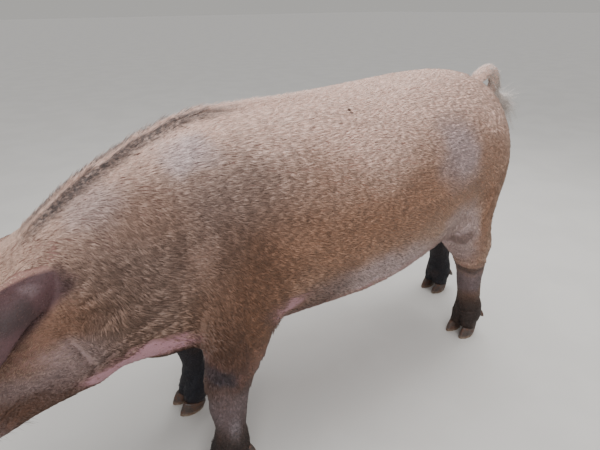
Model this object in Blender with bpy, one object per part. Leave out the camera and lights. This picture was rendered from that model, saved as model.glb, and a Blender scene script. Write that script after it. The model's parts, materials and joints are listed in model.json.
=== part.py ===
"""A grown domestic boar that stands with its head lowered, as a still, life-size model.

Metres, +Z up. The snout points along -X and the left side faces -Y. The origin is on the floor
under the middle of the animal. Sizes are in units of U, a 78th of the height of the rump.
"""

import math
import random

import bpy
import numpy as np
from mathutils import Matrix, Vector

# Driving sizes
RUMP_HEIGHT = 0.874
U = RUMP_HEIGHT / 78.0
GAP = 0.0003
SEED = 7

# Surface fineness
SKIN_VOXEL = 0.0065
FINE_SMOOTHING = 6
TRUNK_SMOOTHING = 70
BODY_TRIANGLES = 5000
HEAD_TRIANGLES = 11500

# Trunk: x, top, bottom, half width, height of the widest line
TRUNK = [
    (-49.0, 66.0, 36.0, 10.5, 51.0),
    (-44.0, 72.0, 31.0, 14.5, 51.0),
    (-36.0, 75.8, 28.5, 17.5, 51.0),
    (-26.0, 75.8, 29.0, 19.0, 51.0),
    (-12.0, 76.2, 28.4, 20.3, 49.5),
    (4.0, 77.0, 27.6, 21.0, 48.5),
    (18.0, 78.0, 29.8, 20.6, 49.0),
    (30.0, 78.7, 35.0, 19.4, 51.5),
    (40.0, 78.2, 39.5, 18.0, 54.0),
    (47.0, 76.4, 43.5, 15.8, 55.5),
    (52.0, 73.2, 47.5, 13.0, 57.0),
    (56.0, 68.0, 52.0, 8.5, 59.5),
]
TRUNK_SQUARENESS = 2.2

# Neck: x and z of the middle, half width, reach above and below the middle, lean of the section
NECK = [
    (-36.0, 51.0, 16.0, 23.2, 21.0, 0.0),
    (-43.0, 49.5, 15.2, 22.8, 20.6, 8.0),
    (-50.0, 47.0, 14.2, 20.8, 18.8, 18.0),
    (-56.0, 45.0, 13.2, 18.0, 16.4, 28.0),
    (-61.0, 43.0, 12.4, 15.8, 14.6, 35.0),
]

# Head: its back end, its tilt below level, and stations along its own axis
HEAD_START = (-60.0, 0.0, 47.0)
HEAD_PITCH = 37.0
# distance, half width, top, bottom of the skull and muzzle
SKULL = [
    (-4.0, 10.5, 11.0, 10.0),
    (0.0, 11.8, 13.2, 11.5),
    (5.0, 12.2, 13.0, 10.5),
    (10.0, 11.2, 11.0, 8.6),
    (15.0, 9.3, 8.5, 6.4),
    (20.0, 7.3, 6.4, 5.2),
    (25.0, 6.0, 5.3, 4.6),
    (30.0, 5.1, 4.8, 4.0),
    (34.5, 4.6, 4.3, 3.6),
    (37.5, 4.3, 4.0, 3.4),
]
# distance, half width, top, bottom of the lower jaw, all below the axis
JAW = [
    (-2.0, 9.5, 0.0, 16.0),
    (4.0, 10.6, 0.5, 15.4),
    (10.0, 9.8, 1.5, 13.0),
    (16.0, 8.0, 2.0, 10.5),
    (22.0, 6.2, 2.4, 8.6),
    (27.0, 5.1, 2.7, 7.2),
    (30.4, 4.2, 2.9, 6.4),
    (31.8, 3.1, 3.3, 5.7),
]
MOUTH_DROP = 3.3
MOUTH_START = 15.0

# Snout disc at the front of the muzzle
SNOUT_AT = 34.3
SNOUT_DROP = 0.2
SNOUT_HALF_WIDTH = 4.35
SNOUT_HALF_HEIGHT = 3.7
SNOUT_THICKNESS = 1.9
SNOUT_TILT = 8.0
NOSTRIL_SPACING = 1.75
NOSTRIL_RADII = (0.62, 0.85)
NOSTRIL_DEPTH = 1.2

# Eyes, on the head's own axis: distance along, out to the side, above the axis
EYE_PLACE = (13.6, 7.3, 5.2)
EYE_RADIUS = 1.2
LID_THICKNESS = 0.28
LID_GAPE = 24.0

# Ears: root, bend and tip on the head's own axis, then their shape
EAR_ROOT = (-4.4, 9.0, 9.6)
EAR_MIDDLE = (7.0, 14.0, 14.6)
EAR_TIP = (17.5, 15.5, 7.0)
EAR_HALF_WIDTH = 5.4
EAR_THICKNESS = 0.55
EAR_LEAN = 40.0
EAR_ROOT_ROLL = 105.0
EAR_TIP_ROLL = 28.0
# half width along the ear, root to tip, as a share of EAR_HALF_WIDTH
EAR_OUTLINE = [0.92, 1.0, 0.93, 0.86, 0.83, 0.81, 0.77, 0.69, 0.55, 0.36, 0.13]

# Legs: x, z, half length fore and aft, half width, and how far out from the foot
FORE_LEG = [
    (-31.0, 54.0, 12.5, 7.0, -2.5),
    (-31.0, 44.0, 11.0, 6.4, -0.8),
    (-32.5, 37.0, 8.6, 6.0, 0.0),
    (-34.6, 30.0, 6.2, 5.2, 0.0),
    (-36.2, 24.0, 4.7, 4.4, 0.0),
    (-36.9, 20.0, 4.2, 4.1, 0.0),
    (-36.8, 16.0, 3.55, 3.6, 0.0),
    (-36.6, 11.5, 3.35, 3.45, 0.0),
    (-36.9, 7.5, 3.9, 4.2, 0.0),
    (-37.8, 5.4, 3.9, 4.3, 0.0),
]
HIND_LEG = [
    (40.0, 57.0, 12.5, 6.6, -4.5),
    (38.5, 48.0, 13.4, 7.4, -2.0),
    (38.6, 40.0, 11.8, 7.0, -0.4),
    (41.0, 33.0, 8.5, 5.9, 0.0),
    (44.4, 27.5, 5.6, 4.6, 0.0),
    (46.8, 23.0, 4.2, 3.9, 0.0),
    (47.6, 18.0, 3.6, 3.6, 0.0),
    (47.4, 12.5, 3.3, 3.5, 0.0),
    (46.8, 8.0, 3.75, 4.15, 0.0),
    (46.0, 5.6, 4.0, 4.4, 0.0),
]
# each foot: which leg, side (+1 is the right side), shift along x, distance from the middle
FEET = {
    "fore_left": ("fore", -1, 0.0, 13.5),
    "fore_right": ("fore", 1, 3.0, 9.5),
    "hind_left": ("hind", -1, 0.0, 13.2),
    "hind_right": ("hind", 1, 13.5, 8.5),
}
# the near hock stands this far ahead of the leg's line
HOCK_SHIFT = {"hind_left": -3.2}
FORE_TOE_X = -39.6
HIND_TOE_X = 44.6

# Hooves
HOOF_HALF_LENGTH = 3.25
HOOF_HALF_WIDTH = 1.75
HOOF_SPREAD = 2.2
HOOF_SET_BACK = 0.9
CORONET_HEIGHT = 2.8
CORONET_SLOPE = -0.28
DEWCLAW_LENGTH = 3.6
DEWCLAW_RADIUS = 0.95
DEWCLAW_HEIGHT = 6.6

# Tail: its line and its radius, root to tip
TAIL_LINE = [
    (50.5, 0.0, 71.5),
    (54.0, -0.2, 74.6),
    (57.4, -0.5, 76.6),
    (60.6, -0.6, 76.0),
    (62.6, -0.4, 73.4),
    (62.9, 0.3, 70.2),
    (63.8, 1.0, 67.8),
    (66.4, 1.3, 66.9),
]
TAIL_RADII = (1.9, 0.75)
TUFT_LOCKS = 12
TUFT_LENGTH = 9.5
TUFT_WIDTH = 1.9

# Bristle crest from the nape to the loin: the stretch of each node, in x, that carries locks
CREST_STRETCHES = {"neck": (-61.6, -49.9), "chest": (-48.2, -13.2), "barrel": (-11.6, -2.0)}
CREST_STEP = 2.5
CREST_LENGTH = 5.8
CREST_SHORTEST = 2.0
CREST_WIDTH = 2.3

# How far behind HEAD_START the head's node ends
HEAD_CUT = 5.8
# Cuts between the trunk's nodes: x at the height of the waist, and how far the cut leans
NECK_CUT = (-45.5, 52.0, 12.0)
CHEST_CUT = (-13.0, 52.0, 0.0)
RUMP_CUT = (25.0, 52.0, 0.0)
# where the legs part from the trunk: outline of the cutter seen from the front, and its x range
FORE_CUT = ([(2.6, -4.0), (34.0, -4.0), (34.0, 52.0), (2.6, 22.0)], (-54.0, -18.5))
HIND_CUT = ([(1.2, -4.0), (34.0, -4.0), (34.0, 58.0), (1.2, 30.0)], (23.5, 76.0))
KNEE_HEIGHT = 24.5
HOCK_HEIGHT = 27.0

# Muscle and fat under the skin: place, radii, lean in the side view
PAIRED_FORMS = [
    ((-32.0, 9.4, 55.0), (13.5, 8.6, 17.0), 12.0),
    ((-33.0, 11.0, 43.5), (10.5, 7.2, 10.5), 0.0),
    ((41.0, 8.2, 55.5), (15.0, 10.6, 18.0), -8.0),
    ((44.5, 9.0, 45.0), (10.0, 8.0, 11.5), -12.0),
    ((51.6, 2.9, 42.5), (3.4, 3.0, 4.6), 20.0),
]
MIDDLE_FORMS = [
    ((-45.0, 0.0, 37.5), (9.0, 10.0, 9.5), 0.0),
    ((-53.5, 0.0, 38.5), (8.5, 9.5, 8.5), 0.0),
    ((14.0, 0.0, 28.6), (7.5, 2.2, 1.7), 4.0),
]
# the same on the head, in its own axes: distance along, out, above the axis
HEAD_FORMS = [
    ((3.0, 7.4, -6.0), (9.0, 5.2, 7.5)),
    ((12.6, 4.7, 5.6), (5.0, 3.2, 3.0)),
    ((19.0, 4.2, -1.4), (8.0, 3.6, 3.4)),
]

# Colours of the museum finish
PINK_COAT = (0.60, 0.44, 0.36)
FACE_COAT = (0.52, 0.37, 0.31)
SNOUT_SKIN = (0.55, 0.30, 0.28)
EAR_SKIN = (0.30, 0.17, 0.16)
EYE_COLOUR = (0.035, 0.022, 0.016)
HORN = (0.10, 0.085, 0.075)
LEG_COAT = (0.25, 0.19, 0.17)
TAIL_COAT = (0.75, 0.68, 0.64)


def clear_scene():
    for obj in list(bpy.data.objects):
        bpy.data.objects.remove(obj)


def material(name, colour, roughness):
    """A plain Principled finish."""
    made = bpy.data.materials.new(name)
    made.use_nodes = True
    shader = made.node_tree.nodes["Principled BSDF"]
    shader.inputs["Base Color"].default_value = (*colour, 1.0)
    shader.inputs["Roughness"].default_value = roughness
    return made


def smoothed(table, steps):
    """The rows of a table, with steps rows on a smooth curve between each pair."""
    rows = np.array(table, float)
    slopes = np.gradient(rows, axis=0)
    made = []
    for i in range(len(rows) - 1):
        for k in range(steps):
            t = k / steps
            h = (2 * t**3 - 3 * t**2 + 1, t**3 - 2 * t**2 + t, 3 * t**2 - 2 * t**3, t**3 - t**2)
            made.append(h[0] * rows[i] + h[1] * slopes[i] + h[2] * rows[i + 1] + h[3] * slopes[i + 1])
    made.append(rows[-1])
    return made


def section(centre, across, up, half_width, above, below, sides=56, squareness=2.0):
    """One closed cross-section, a rounded oval with its own reach above and below the centre."""
    power = 2.0 / squareness
    points = []
    for i in range(sides):
        angle = 2 * math.pi * i / sides
        c, s = math.cos(angle), math.sin(angle)
        out = half_width * math.copysign(abs(c) ** power, c)
        rise = (above if s > 0 else below) * math.copysign(abs(s) ** power, s)
        points.append(centre + across * out + up * rise)
    return points


def add_loft(parts, rings):
    """Adds a closed skin over the rings to parts, a pair of lists of points and faces."""
    points, faces = parts
    start, sides = len(points), len(rings[0])
    for ring in rings:
        points.extend(ring)
    for r in range(len(rings) - 1):
        for i in range(sides):
            j = (i + 1) % sides
            a, b = start + r * sides, start + (r + 1) * sides
            faces.append((a + i, a + j, b + j, b + i))
    for ring, row, order in ((rings[0], 0, -1), (rings[-1], len(rings) - 1, 1)):
        middle = len(points)
        points.append(sum(ring, Vector()) / sides)
        for i in range(sides):
            a = start + row * sides + i
            b = start + row * sides + (i + 1) % sides
            faces.append((a, b, middle) if order == 1 else (b, a, middle))


def mesh_object(name, parts, finish=None):
    """A mesh object from points and faces, with its faces turned outwards."""
    mesh = bpy.data.meshes.new(name)
    mesh.from_pydata([tuple(p) for p in parts[0]], [], parts[1])
    mesh.update()
    obj = bpy.data.objects.new(name, mesh)
    bpy.context.scene.collection.objects.link(obj)
    corners = mesh_arrays(mesh)
    if np.linalg.det(corners).sum() < 0:
        mesh.flip_normals()
    if finish:
        mesh.materials.append(finish)
    return obj


def mesh_arrays(mesh):
    """The corners of every triangle, as an array of 3 by 3."""
    mesh.calc_loop_triangles()
    points = np.empty(len(mesh.vertices) * 3)
    mesh.vertices.foreach_get("co", points)
    faces = np.empty(len(mesh.loop_triangles) * 3, np.int32)
    mesh.loop_triangles.foreach_get("vertices", faces)
    return points.reshape(-1, 3)[faces.reshape(-1, 3)]


def apply_modifiers(obj):
    """Makes what the modifiers show the object's own mesh."""
    graph = bpy.context.evaluated_depsgraph_get()
    graph.update()
    mesh = bpy.data.meshes.new_from_object(obj.evaluated_get(graph))
    old = obj.data
    obj.modifiers.clear()
    obj.data = mesh
    bpy.data.meshes.remove(old)
    return obj


def boolean(obj, other, operation, solver="EXACT"):
    """Cuts, keeps or joins obj with other, which stays as it is."""
    step = obj.modifiers.new(operation, "BOOLEAN")
    step.operation = operation
    step.object = other
    step.solver = solver
    return apply_modifiers(obj)


def keep_largest(obj):
    """Drops all but the largest closed surface of a mesh."""
    mesh = obj.data
    parent = list(range(len(mesh.vertices)))

    def root(i):
        while parent[i] != i:
            parent[i] = parent[parent[i]]
            i = parent[i]
        return i

    for edge in mesh.edges:
        a, b = root(edge.vertices[0]), root(edge.vertices[1])
        parent[a] = b
    groups = {}
    for i in range(len(parent)):
        groups.setdefault(root(i), []).append(i)
    if len(groups) > 1:
        best = set(max(groups.values(), key=len))
        faces = [tuple(f.vertices) for f in mesh.polygons if f.vertices[0] in best]
        used = sorted(best)
        place = {old: new for new, old in enumerate(used)}
        kept = bpy.data.meshes.new(mesh.name)
        kept.from_pydata([mesh.vertices[i].co for i in used], [], [[place[v] for v in f] for f in faces])
        for finish in mesh.materials:
            kept.materials.append(finish)
        obj.data = kept
        bpy.data.meshes.remove(mesh)
    return obj


def copy_of(obj, name):
    made = obj.copy()
    made.data = obj.data.copy()
    made.name = name
    bpy.context.scene.collection.objects.link(made)
    return made


def discard(obj):
    bpy.data.objects.remove(obj)


def block(low, high, turn=None, about=(0.0, 0.0, 0.0)):
    """A box from low to high in units, turned by turn about a point."""
    parts = ([], [])
    ends = list(zip(low, high))
    corners = [Vector((x, y, z)) * U for x in ends[0] for y in ends[1] for z in ends[2]]
    if turn:
        pivot = Vector(about) * U
        corners = [pivot + turn @ (c - pivot) for c in corners]
    parts[0].extend(corners)
    parts[1].extend([(0, 1, 3, 2), (4, 6, 7, 5), (0, 4, 5, 1), (2, 3, 7, 6), (0, 2, 6, 4), (1, 5, 7, 3)])
    return mesh_object("cutter", parts)


def head_point(along, out, rise):
    """A point given along the head's axis, out to the side and above the axis, in metres."""
    pitch = math.radians(HEAD_PITCH)
    axis = Vector((-math.cos(pitch), 0.0, -math.sin(pitch)))
    up = Vector((-math.sin(pitch), 0.0, math.cos(pitch)))
    return (Vector(HEAD_START) + axis * along + up * rise + Vector((0.0, out, 0.0))) * U


def head_axes():
    """The head's forward, sideways and upward directions."""
    start = head_point(0, 0, 0)
    return [(head_point(*d) - start).normalized() for d in ((1, 0, 0), (0, 1, 0), (0, 0, 1))]


def add_ball(parts, centre, radii, axes, rings=12, sides=16):
    """A rounded form with its own radii along three directions."""
    rows = []
    for r in range(1, rings):
        angle = math.pi * r / rings
        size = math.sin(angle)
        middle = centre + axes[2] * (radii[2] * math.cos(angle))
        tall = radii[1] * size
        rows.append(section(middle, axes[0], axes[1], radii[0] * size, tall, tall, sides))
    add_loft(parts, rows)


def add_trunk(parts):
    side, up = Vector((0, 1, 0)), Vector((0, 0, 1))
    rings = []
    for x, top, bottom, half_width, waist in smoothed(TRUNK, 4):
        middle = Vector((x, 0, waist)) * U
        rings.append(section(middle, side, up, half_width * U, (top - waist) * U, (waist - bottom) * U,
                             squareness=TRUNK_SQUARENESS))
    add_loft(parts, rings)


def add_neck(parts):
    side = Vector((0, 1, 0))
    rings = []
    for x, z, half_width, above, below, lean in smoothed(NECK, 4):
        angle = math.radians(lean)
        up = Vector((-math.sin(angle), 0, math.cos(angle)))
        middle = Vector((x, 0, z)) * U
        rings.append(section(middle, side, up, half_width * U, above * U, below * U, squareness=2.15))
    add_loft(parts, rings)


def add_head(parts):
    forward, side, up = head_axes()
    rings = []
    for along, half_width, above, below in smoothed(SKULL, 4):
        rings.append(section(head_point(along, 0, 0), side, up, half_width * U, above * U, below * U,
                             squareness=2.2))
    add_loft(parts, rings)
    rings = []
    for along, half_width, top, bottom in smoothed(JAW, 4):
        middle = -(top + bottom) / 2
        reach = (bottom - top) / 2
        rings.append(section(head_point(along, 0, middle), side, up, half_width * U, reach * U, reach * U,
                             squareness=2.2))
    add_loft(parts, rings)
    for place, radii in HEAD_FORMS:
        for turn in (-1, 1):
            centre = head_point(place[0], turn * place[1], place[2])
            add_ball(parts, centre, [r * U for r in radii], (forward, side, up))


def add_forms(parts):
    for place, radii, lean in PAIRED_FORMS:
        for turn in (-1, 1):
            add_form(parts, (place[0], turn * place[1], place[2]), radii, lean)
    for place, radii, lean in MIDDLE_FORMS:
        add_form(parts, place, radii, lean)


def add_form(parts, place, radii, lean):
    turn = Matrix.Rotation(math.radians(lean), 3, "Y")
    axes = [turn @ Vector(v) for v in ((1, 0, 0), (0, 1, 0), (0, 0, 1))]
    add_ball(parts, Vector(place) * U, [r * U for r in radii], axes)


def leg_rows(foot):
    """The stations of one leg, with x, y, z of the middle and both half sizes."""
    kind, side, shift, out = FEET[foot]
    table = FORE_LEG if kind == "fore" else HIND_LEG
    top = table[0][1]
    rows = []
    for x, z, half_length, half_width, inward in table:
        slide = shift * (1.0 - (z / top) ** 1.3)
        slide += HOCK_SHIFT.get(foot, 0.0) * math.exp(-(((z - 20.0) / 9.0) ** 2))
        rows.append((x + slide, side * (out + inward), z, half_length, half_width))
    return rows


def add_leg(parts, foot):
    fore_aft, side = Vector((1, 0, 0)), Vector((0, 1, 0))
    rings = []
    for x, y, z, half_length, half_width in smoothed(leg_rows(foot), 4):
        middle = Vector((x, y, z)) * U
        wide = half_width * U
        rings.append(section(middle, fore_aft, side, half_length * U, wide, wide))
    add_loft(parts, rings)
    add_toes(parts, foot)


def toe_place(foot, turn):
    """The middle of one toe on the floor, in units."""
    kind, side, shift, out = FEET[foot]
    x = (FORE_TOE_X if kind == "fore" else HIND_TOE_X) + shift
    return x, side * out + turn * HOOF_SPREAD


def add_toes(parts, foot):
    """The fleshy ends of the two toes, from the fetlock down past the coronet."""
    x_top, y_top = leg_rows(foot)[-1][:2]
    for turn in (-1, 1):
        x, y = toe_place(foot, turn)
        rings = []
        rows = ((0.0, 3.2, 1.9), (0.35, 3.1, 2.0), (0.7, 3.0, 1.95), (1.0, 2.9, 1.8))
        for share, half_length, half_width in rows:
            out = y_top + turn * HOOF_SPREAD * (0.6 + 0.4 * share)
            centre = Vector((x_top + (x - x_top) * share, out, 7.6 - 6.6 * share)) * U
            wide = half_width * U
            axes = (Vector((1, 0, 0)), Vector((0, 1, 0)))
            rings.append(section(centre, *axes, half_length * U, wide, wide, 20))
        add_loft(parts, rings)


def make_flesh():
    """The whole body as one smooth closed skin."""
    parts = ([], [])
    add_trunk(parts)
    add_neck(parts)
    add_head(parts)
    add_forms(parts)
    for foot in FEET:
        add_leg(parts, foot)
    flesh = mesh_object("flesh", parts)
    skin = flesh.modifiers.new("skin", "REMESH")
    skin.mode = "VOXEL"
    skin.voxel_size = SKIN_VOXEL
    smooth(flesh, FINE_SMOOTHING)
    soft = flesh.vertex_groups.new(name="soft")
    for weight, indices in softness(flesh.data).items():
        soft.add(indices, weight, "REPLACE")
    smooth(flesh, TRUNK_SMOOTHING, "soft")
    return flesh


def smooth(obj, rounds, group=""):
    """Evens a mesh out, only as much as a vertex group says if one is named."""
    even = obj.modifiers.new("even", "SMOOTH")
    even.factor = 0.5
    even.iterations = rounds
    even.vertex_group = group
    return apply_modifiers(obj)


def softness(mesh):
    """How far each point may be evened out, as lists of points by weight: most on the trunk."""
    points = np.empty(len(mesh.vertices) * 3)
    mesh.vertices.foreach_get("co", points)
    points = points.reshape(-1, 3) / U
    height = np.clip((points[:, 2] - 24.0) / 14.0, 0, 1)
    behind_head = np.clip((points[:, 0] + 80.0) / 30.0, 0, 1) ** 2
    weights = np.round(0.06 + 0.94 * height * behind_head, 1)
    return {float(w): np.nonzero(weights == w)[0].tolist() for w in np.unique(weights) if w > 0}


def reduced(obj, name, triangles):
    """A copy with about this many triangles."""
    made = copy_of(obj, name)
    made.data.calc_loop_triangles()
    step = made.modifiers.new("fewer", "DECIMATE")
    step.ratio = triangles / len(made.data.loop_triangles)
    step.use_collapse_triangulate = True
    return keep_largest(apply_modifiers(made))


def prism(outline, low, high, mirror=1):
    """A closed block with an outline across the body, given as (y, z), from low to high along x."""
    parts = ([], [])
    rings = [[Vector((x, mirror * y, z)) * U for y, z in outline] for x in (low, high)]
    add_loft(parts, rings)
    return mesh_object("cutter", parts)


def leaning_block(cut, far):
    """All of the body on one side of a leaning cut: x, height of the pivot, lean, and which side."""
    x, z, lean = cut
    turn = Matrix.Rotation(math.radians(-lean), 3, "Y")
    low, high = sorted((x, x + far))
    return block((low, -60, z - 90), (high, 60, z + 60), turn, (x, 0, z))


def grown(obj, by=GAP):
    """A copy that is thicker all over."""
    made = copy_of(obj, "cutter")
    swell = made.modifiers.new("swell", "DISPLACE")
    swell.strength = by
    swell.mid_level = 0.0
    return apply_modifiers(made)


def part_off(body, cutter, name):
    """Splits body at the cutter: what is inside becomes a node, and the body keeps the rest."""
    piece = boolean(copy_of(body, name), cutter, "INTERSECT")
    wider = grown(cutter)
    boolean(body, wider, "DIFFERENCE")
    discard(wider)
    discard(cutter)
    keep_largest(body)
    return keep_largest(piece)


def tube_frames(line):
    """Points along a line, each with two directions across it."""
    frames = []
    side = Vector((0, 1, 0))
    for i, point in enumerate(line):
        ahead = (line[min(i + 1, len(line) - 1)] - line[max(i - 1, 0)]).normalized()
        up = ahead.cross(side).normalized()
        side = up.cross(ahead).normalized()
        frames.append((point, side, up, ahead))
    return frames


def add_lock(parts, root, lie, face, length, width, droop):
    """A flat, tapered lock: it leaves its root along lie, with its flat side towards face."""
    ahead = lie.normalized()
    across = ahead.cross(face).normalized()
    rings = []
    for share, wide, thick in ((0.0, 0.85, 0.45), (0.5, 1.0, 0.3), (1.0, 0.18, 0.1)):
        bent = (ahead - face * droop * share).normalized()
        middle = root + ahead * length * share * 0.55 + bent * length * share * 0.45
        normal = across.cross(bent).normalized()
        half = width * wide / 2
        rings.append([middle + across * half, middle + normal * width * thick / 2,
                      middle - across * half, middle - normal * width * thick / 2])
    add_loft(parts, rings)


def union_all(obj, pieces):
    """Joins many closed pieces to obj in one step."""
    group = bpy.data.collections.new("pieces")
    bpy.context.scene.collection.children.link(group)
    for piece in pieces:
        bpy.context.scene.collection.objects.unlink(piece)
        group.objects.link(piece)
    step = obj.modifiers.new("join", "BOOLEAN")
    step.operation = "UNION"
    step.operand_type = "COLLECTION"
    step.collection = group
    step.solver = "EXACT"
    apply_modifiers(obj)
    for piece in pieces:
        discard(piece)
    bpy.data.collections.remove(group)
    return keep_largest(obj)


def crest_roots(chance, start, end):
    """Where the locks of one node grow: x, y and length, kept short of the node behind."""
    roots = []
    rows = int((end - start) / CREST_STEP)
    for i in range(rows):
        x = start + CREST_STEP * i
        for side in (-1, 1):
            place = x + chance.uniform(0.0, 1.1)
            length = min(CREST_LENGTH * chance.uniform(0.8, 1.1), end - place)
            if length > CREST_SHORTEST:
                roots.append((place, side * chance.uniform(0.5, 1.3), length))
    return roots


def add_crest(nodes):
    """Bristle locks along the ridge of the neck and withers, each fused to the node it grows from."""
    chance = random.Random(SEED)
    for name, node in nodes.items():
        locks = []
        for x, y, length in crest_roots(chance, *CREST_STRETCHES[name]):
            hit, place, normal, _ = node.ray_cast(Vector((x, y, 100.0)) * U, Vector((0, 0, -1)))
            back = Vector((1, 0, 0))
            along = (back - normal * back.dot(normal)).normalized()
            lie = along + normal * chance.uniform(0.2, 0.34) + Vector((0, y * 0.1, 0))
            parts = ([], [])
            add_lock(parts, place - normal * 0.5 * U - along * 0.5 * U, lie, normal, length * U,
                     min(CREST_WIDTH, length * 0.5) * chance.uniform(0.85, 1.15) * U, 0.25)
            locks.append(mesh_object("lock", parts))
        union_all(node, locks)


def make_tail(rump):
    """The curled tail with its tuft, cut clear of the rump."""
    line = [Vector(row) * U for row in smoothed(TAIL_LINE, 2)]
    frames = tube_frames(line)
    parts = ([], [])
    rings = []
    for i, (point, side, up, ahead) in enumerate(frames):
        share = i / (len(frames) - 1)
        radius = (TAIL_RADII[0] + (TAIL_RADII[1] - TAIL_RADII[0]) * share) * U
        rings.append(section(point, side, up, radius, radius, radius, 12))
    add_loft(parts, rings)
    tail = mesh_object("tail", parts, material("white tail", TAIL_COAT, 0.8))
    chance = random.Random(SEED + 1)
    locks = []
    for i in range(TUFT_LOCKS):
        share = 0.66 + 0.32 * i / (TUFT_LOCKS - 1)
        point, side, up, ahead = frames[int(share * (len(frames) - 1))]
        turn = 2.4 * i
        out = side * math.cos(turn) + up * math.sin(turn)
        lie = Vector((1.0, 0.0, -0.22)) + out * chance.uniform(0.12, 0.34)
        parts = ([], [])
        length = TUFT_LENGTH * chance.uniform(0.75, 1.1) * U
        width = TUFT_WIDTH * chance.uniform(0.8, 1.15) * U
        add_lock(parts, point - lie.normalized() * 0.5 * U, lie, out, length, width, 0.15)
        locks.append(mesh_object("lock", parts))
    union_all(tail, locks)
    wider = grown(rump)
    boolean(tail, wider, "DIFFERENCE")
    discard(wider)
    return keep_largest(tail)


def make_ear(name, side, flesh):
    """One ear: a rolled cup at its root that opens into a blade and droops forward over the face."""
    curve = [head_point(along, side * out, rise) for along, out, rise in (EAR_ROOT, EAR_MIDDLE, EAR_TIP)]
    outward = Vector((0, side, 0))
    rows, columns = len(EAR_OUTLINE) - 1, 7
    rings = []
    for r, share in enumerate(EAR_OUTLINE):
        t = r / rows
        middle = curve[0] * (1 - t) ** 2 + curve[1] * 2 * t * (1 - t) + curve[2] * t * t
        ahead = ((curve[1] - curve[0]) * (1 - t) + (curve[2] - curve[1]) * t).normalized()
        lean = math.radians(EAR_LEAN)
        back = Vector((0, 0, 1)) * math.cos(lean) + outward * math.sin(lean)
        back = (back - ahead * back.dot(ahead)).normalized()
        across = ahead.cross(back).normalized()
        half = EAR_HALF_WIDTH * U * share
        roll = math.radians(EAR_ROOT_ROLL + (EAR_TIP_ROLL - EAR_ROOT_ROLL) * min(1.0, 1.6 * t) ** 0.7)
        radius = half / roll
        thick = EAR_THICKNESS * U * (1.3 - 0.8 * t)
        centre = middle - back * radius
        rays = []
        for c in range(columns + 1):
            angle = roll * (2 * c / columns - 1)
            rays.append(across * math.sin(angle) + back * math.cos(angle))
        outer = [centre + ray * radius for ray in rays]
        inner = [centre + ray * (radius - thick) for ray in rays[::-1]]
        rings.append(outer + inner)
    parts = ([], [])
    strip_loft(parts, rings)
    ear = mesh_object(name, parts, material(name + " skin", EAR_SKIN, 0.6))
    for node in flesh:
        wider = grown(node)
        boolean(ear, wider, "DIFFERENCE")
        discard(wider)
    return keep_largest(ear)


def strip_loft(parts, rings):
    """Adds a skin over flat folded rings, each end closed by a strip of triangles alike on both faces."""
    points, faces = parts
    start, sides = len(points), len(rings[0])
    for ring in rings:
        points.extend(ring)
    for r in range(len(rings) - 1):
        a, b = start + r * sides, start + (r + 1) * sides
        for i in range(sides):
            j = (i + 1) % sides
            if i < sides // 2:
                faces.extend([(a + i, a + j, b + i), (a + j, b + j, b + i)])
            else:
                faces.extend([(a + i, a + j, b + j), (a + i, b + j, b + i)])
    for row, flip in ((0, False), (len(rings) - 1, True)):
        a = start + row * sides
        for i in range(sides // 2 - 1):
            quad = (a + i, a + sides - 1 - i, a + sides - 2 - i, a + i + 1)
            faces.append(quad[::-1] if flip else quad)


def lid(centre, axes, side, from_angle, to_angle):
    """One eyelid: a slice of a shell round the eyeball, between two angles about the line of its corners."""
    parts = ([], [])
    forward, across, up = axes
    rings = []
    outward = across * side
    steps, rows = 8, 3
    for i in range(steps + 1):
        swing = math.radians(-72 + 144 * i / steps)
        close = 0.25 + 0.75 * math.cos(swing * 0.9)
        outer, inner = [], []
        for k in range(rows + 1):
            angle = math.radians(from_angle + (to_angle - from_angle) * k / rows)
            angle = angle if k == rows else angle * close + (1 - close) * math.radians(to_angle) * 0.15
            level = outward * math.cos(angle) + up * math.sin(angle)
            ray = level * math.cos(swing) + forward * math.sin(swing)
            outer.append(centre + ray * (EYE_RADIUS + LID_THICKNESS) * U)
            inner.append(centre + ray * (EYE_RADIUS - 0.3) * U)
        rings.append(outer + inner[::-1])
    strip_loft(parts, rings)
    return mesh_object("lid", parts)


def make_eyes(head):
    """Sockets, lids and eyeballs."""
    axes = head_axes()
    eyes = []
    lids = []
    places = {}
    for name, side in (("eye_left", -1), ("eye_right", 1)):
        centre = head_point(EYE_PLACE[0], side * EYE_PLACE[1], EYE_PLACE[2])
        places[name] = centre
        lids.append(lid(centre, axes, side, LID_GAPE, 95.0))
        lids.append(lid(centre, axes, side, -LID_GAPE * 0.8, -95.0))
    union_all(head, lids)
    for name, centre in places.items():
        parts = ([], [])
        add_ball(parts, centre, [EYE_RADIUS * U] * 3, axes, 8, 12)
        ball = mesh_object(name, parts, material(name + " cornea", EYE_COLOUR, 0.08))
        socket = grown(ball)
        boolean(head, socket, "DIFFERENCE")
        discard(socket)
        eyes.append(ball)
    keep_largest(head)
    return eyes


def add_mouth_line(head):
    """A groove round the muzzle between the lips, from one corner to the other."""
    forward, side, up = head_axes()
    rows = (
        (MOUTH_START, 8.6, MOUTH_DROP - 0.9),
        (20.0, 7.0, MOUTH_DROP - 0.3),
        (25.0, 5.9, MOUTH_DROP),
        (30.0, 5.2, MOUTH_DROP + 0.2),
        (36.0, 4.6, MOUTH_DROP + 0.3),
    )
    for turn in (-1, 1):
        rings = []
        for along, out, drop in rows:
            depth = 0.2 if along == MOUTH_START else 1.1
            middle = head_point(along, turn * out, -drop)
            across = side * turn
            thick = 0.38 * U
            lip = middle + across * 3.0 * U
            end = middle - across * depth * U
            gape, slit = up * thick * 2, up * 0.1 * thick
            rings.append([lip + gape, end + slit, end - slit, lip - gape])
        parts = ([], [])
        add_loft(parts, rings)
        groove = mesh_object("groove", parts)
        boolean(head, groove, "DIFFERENCE")
        discard(groove)
    return keep_largest(head)


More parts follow.
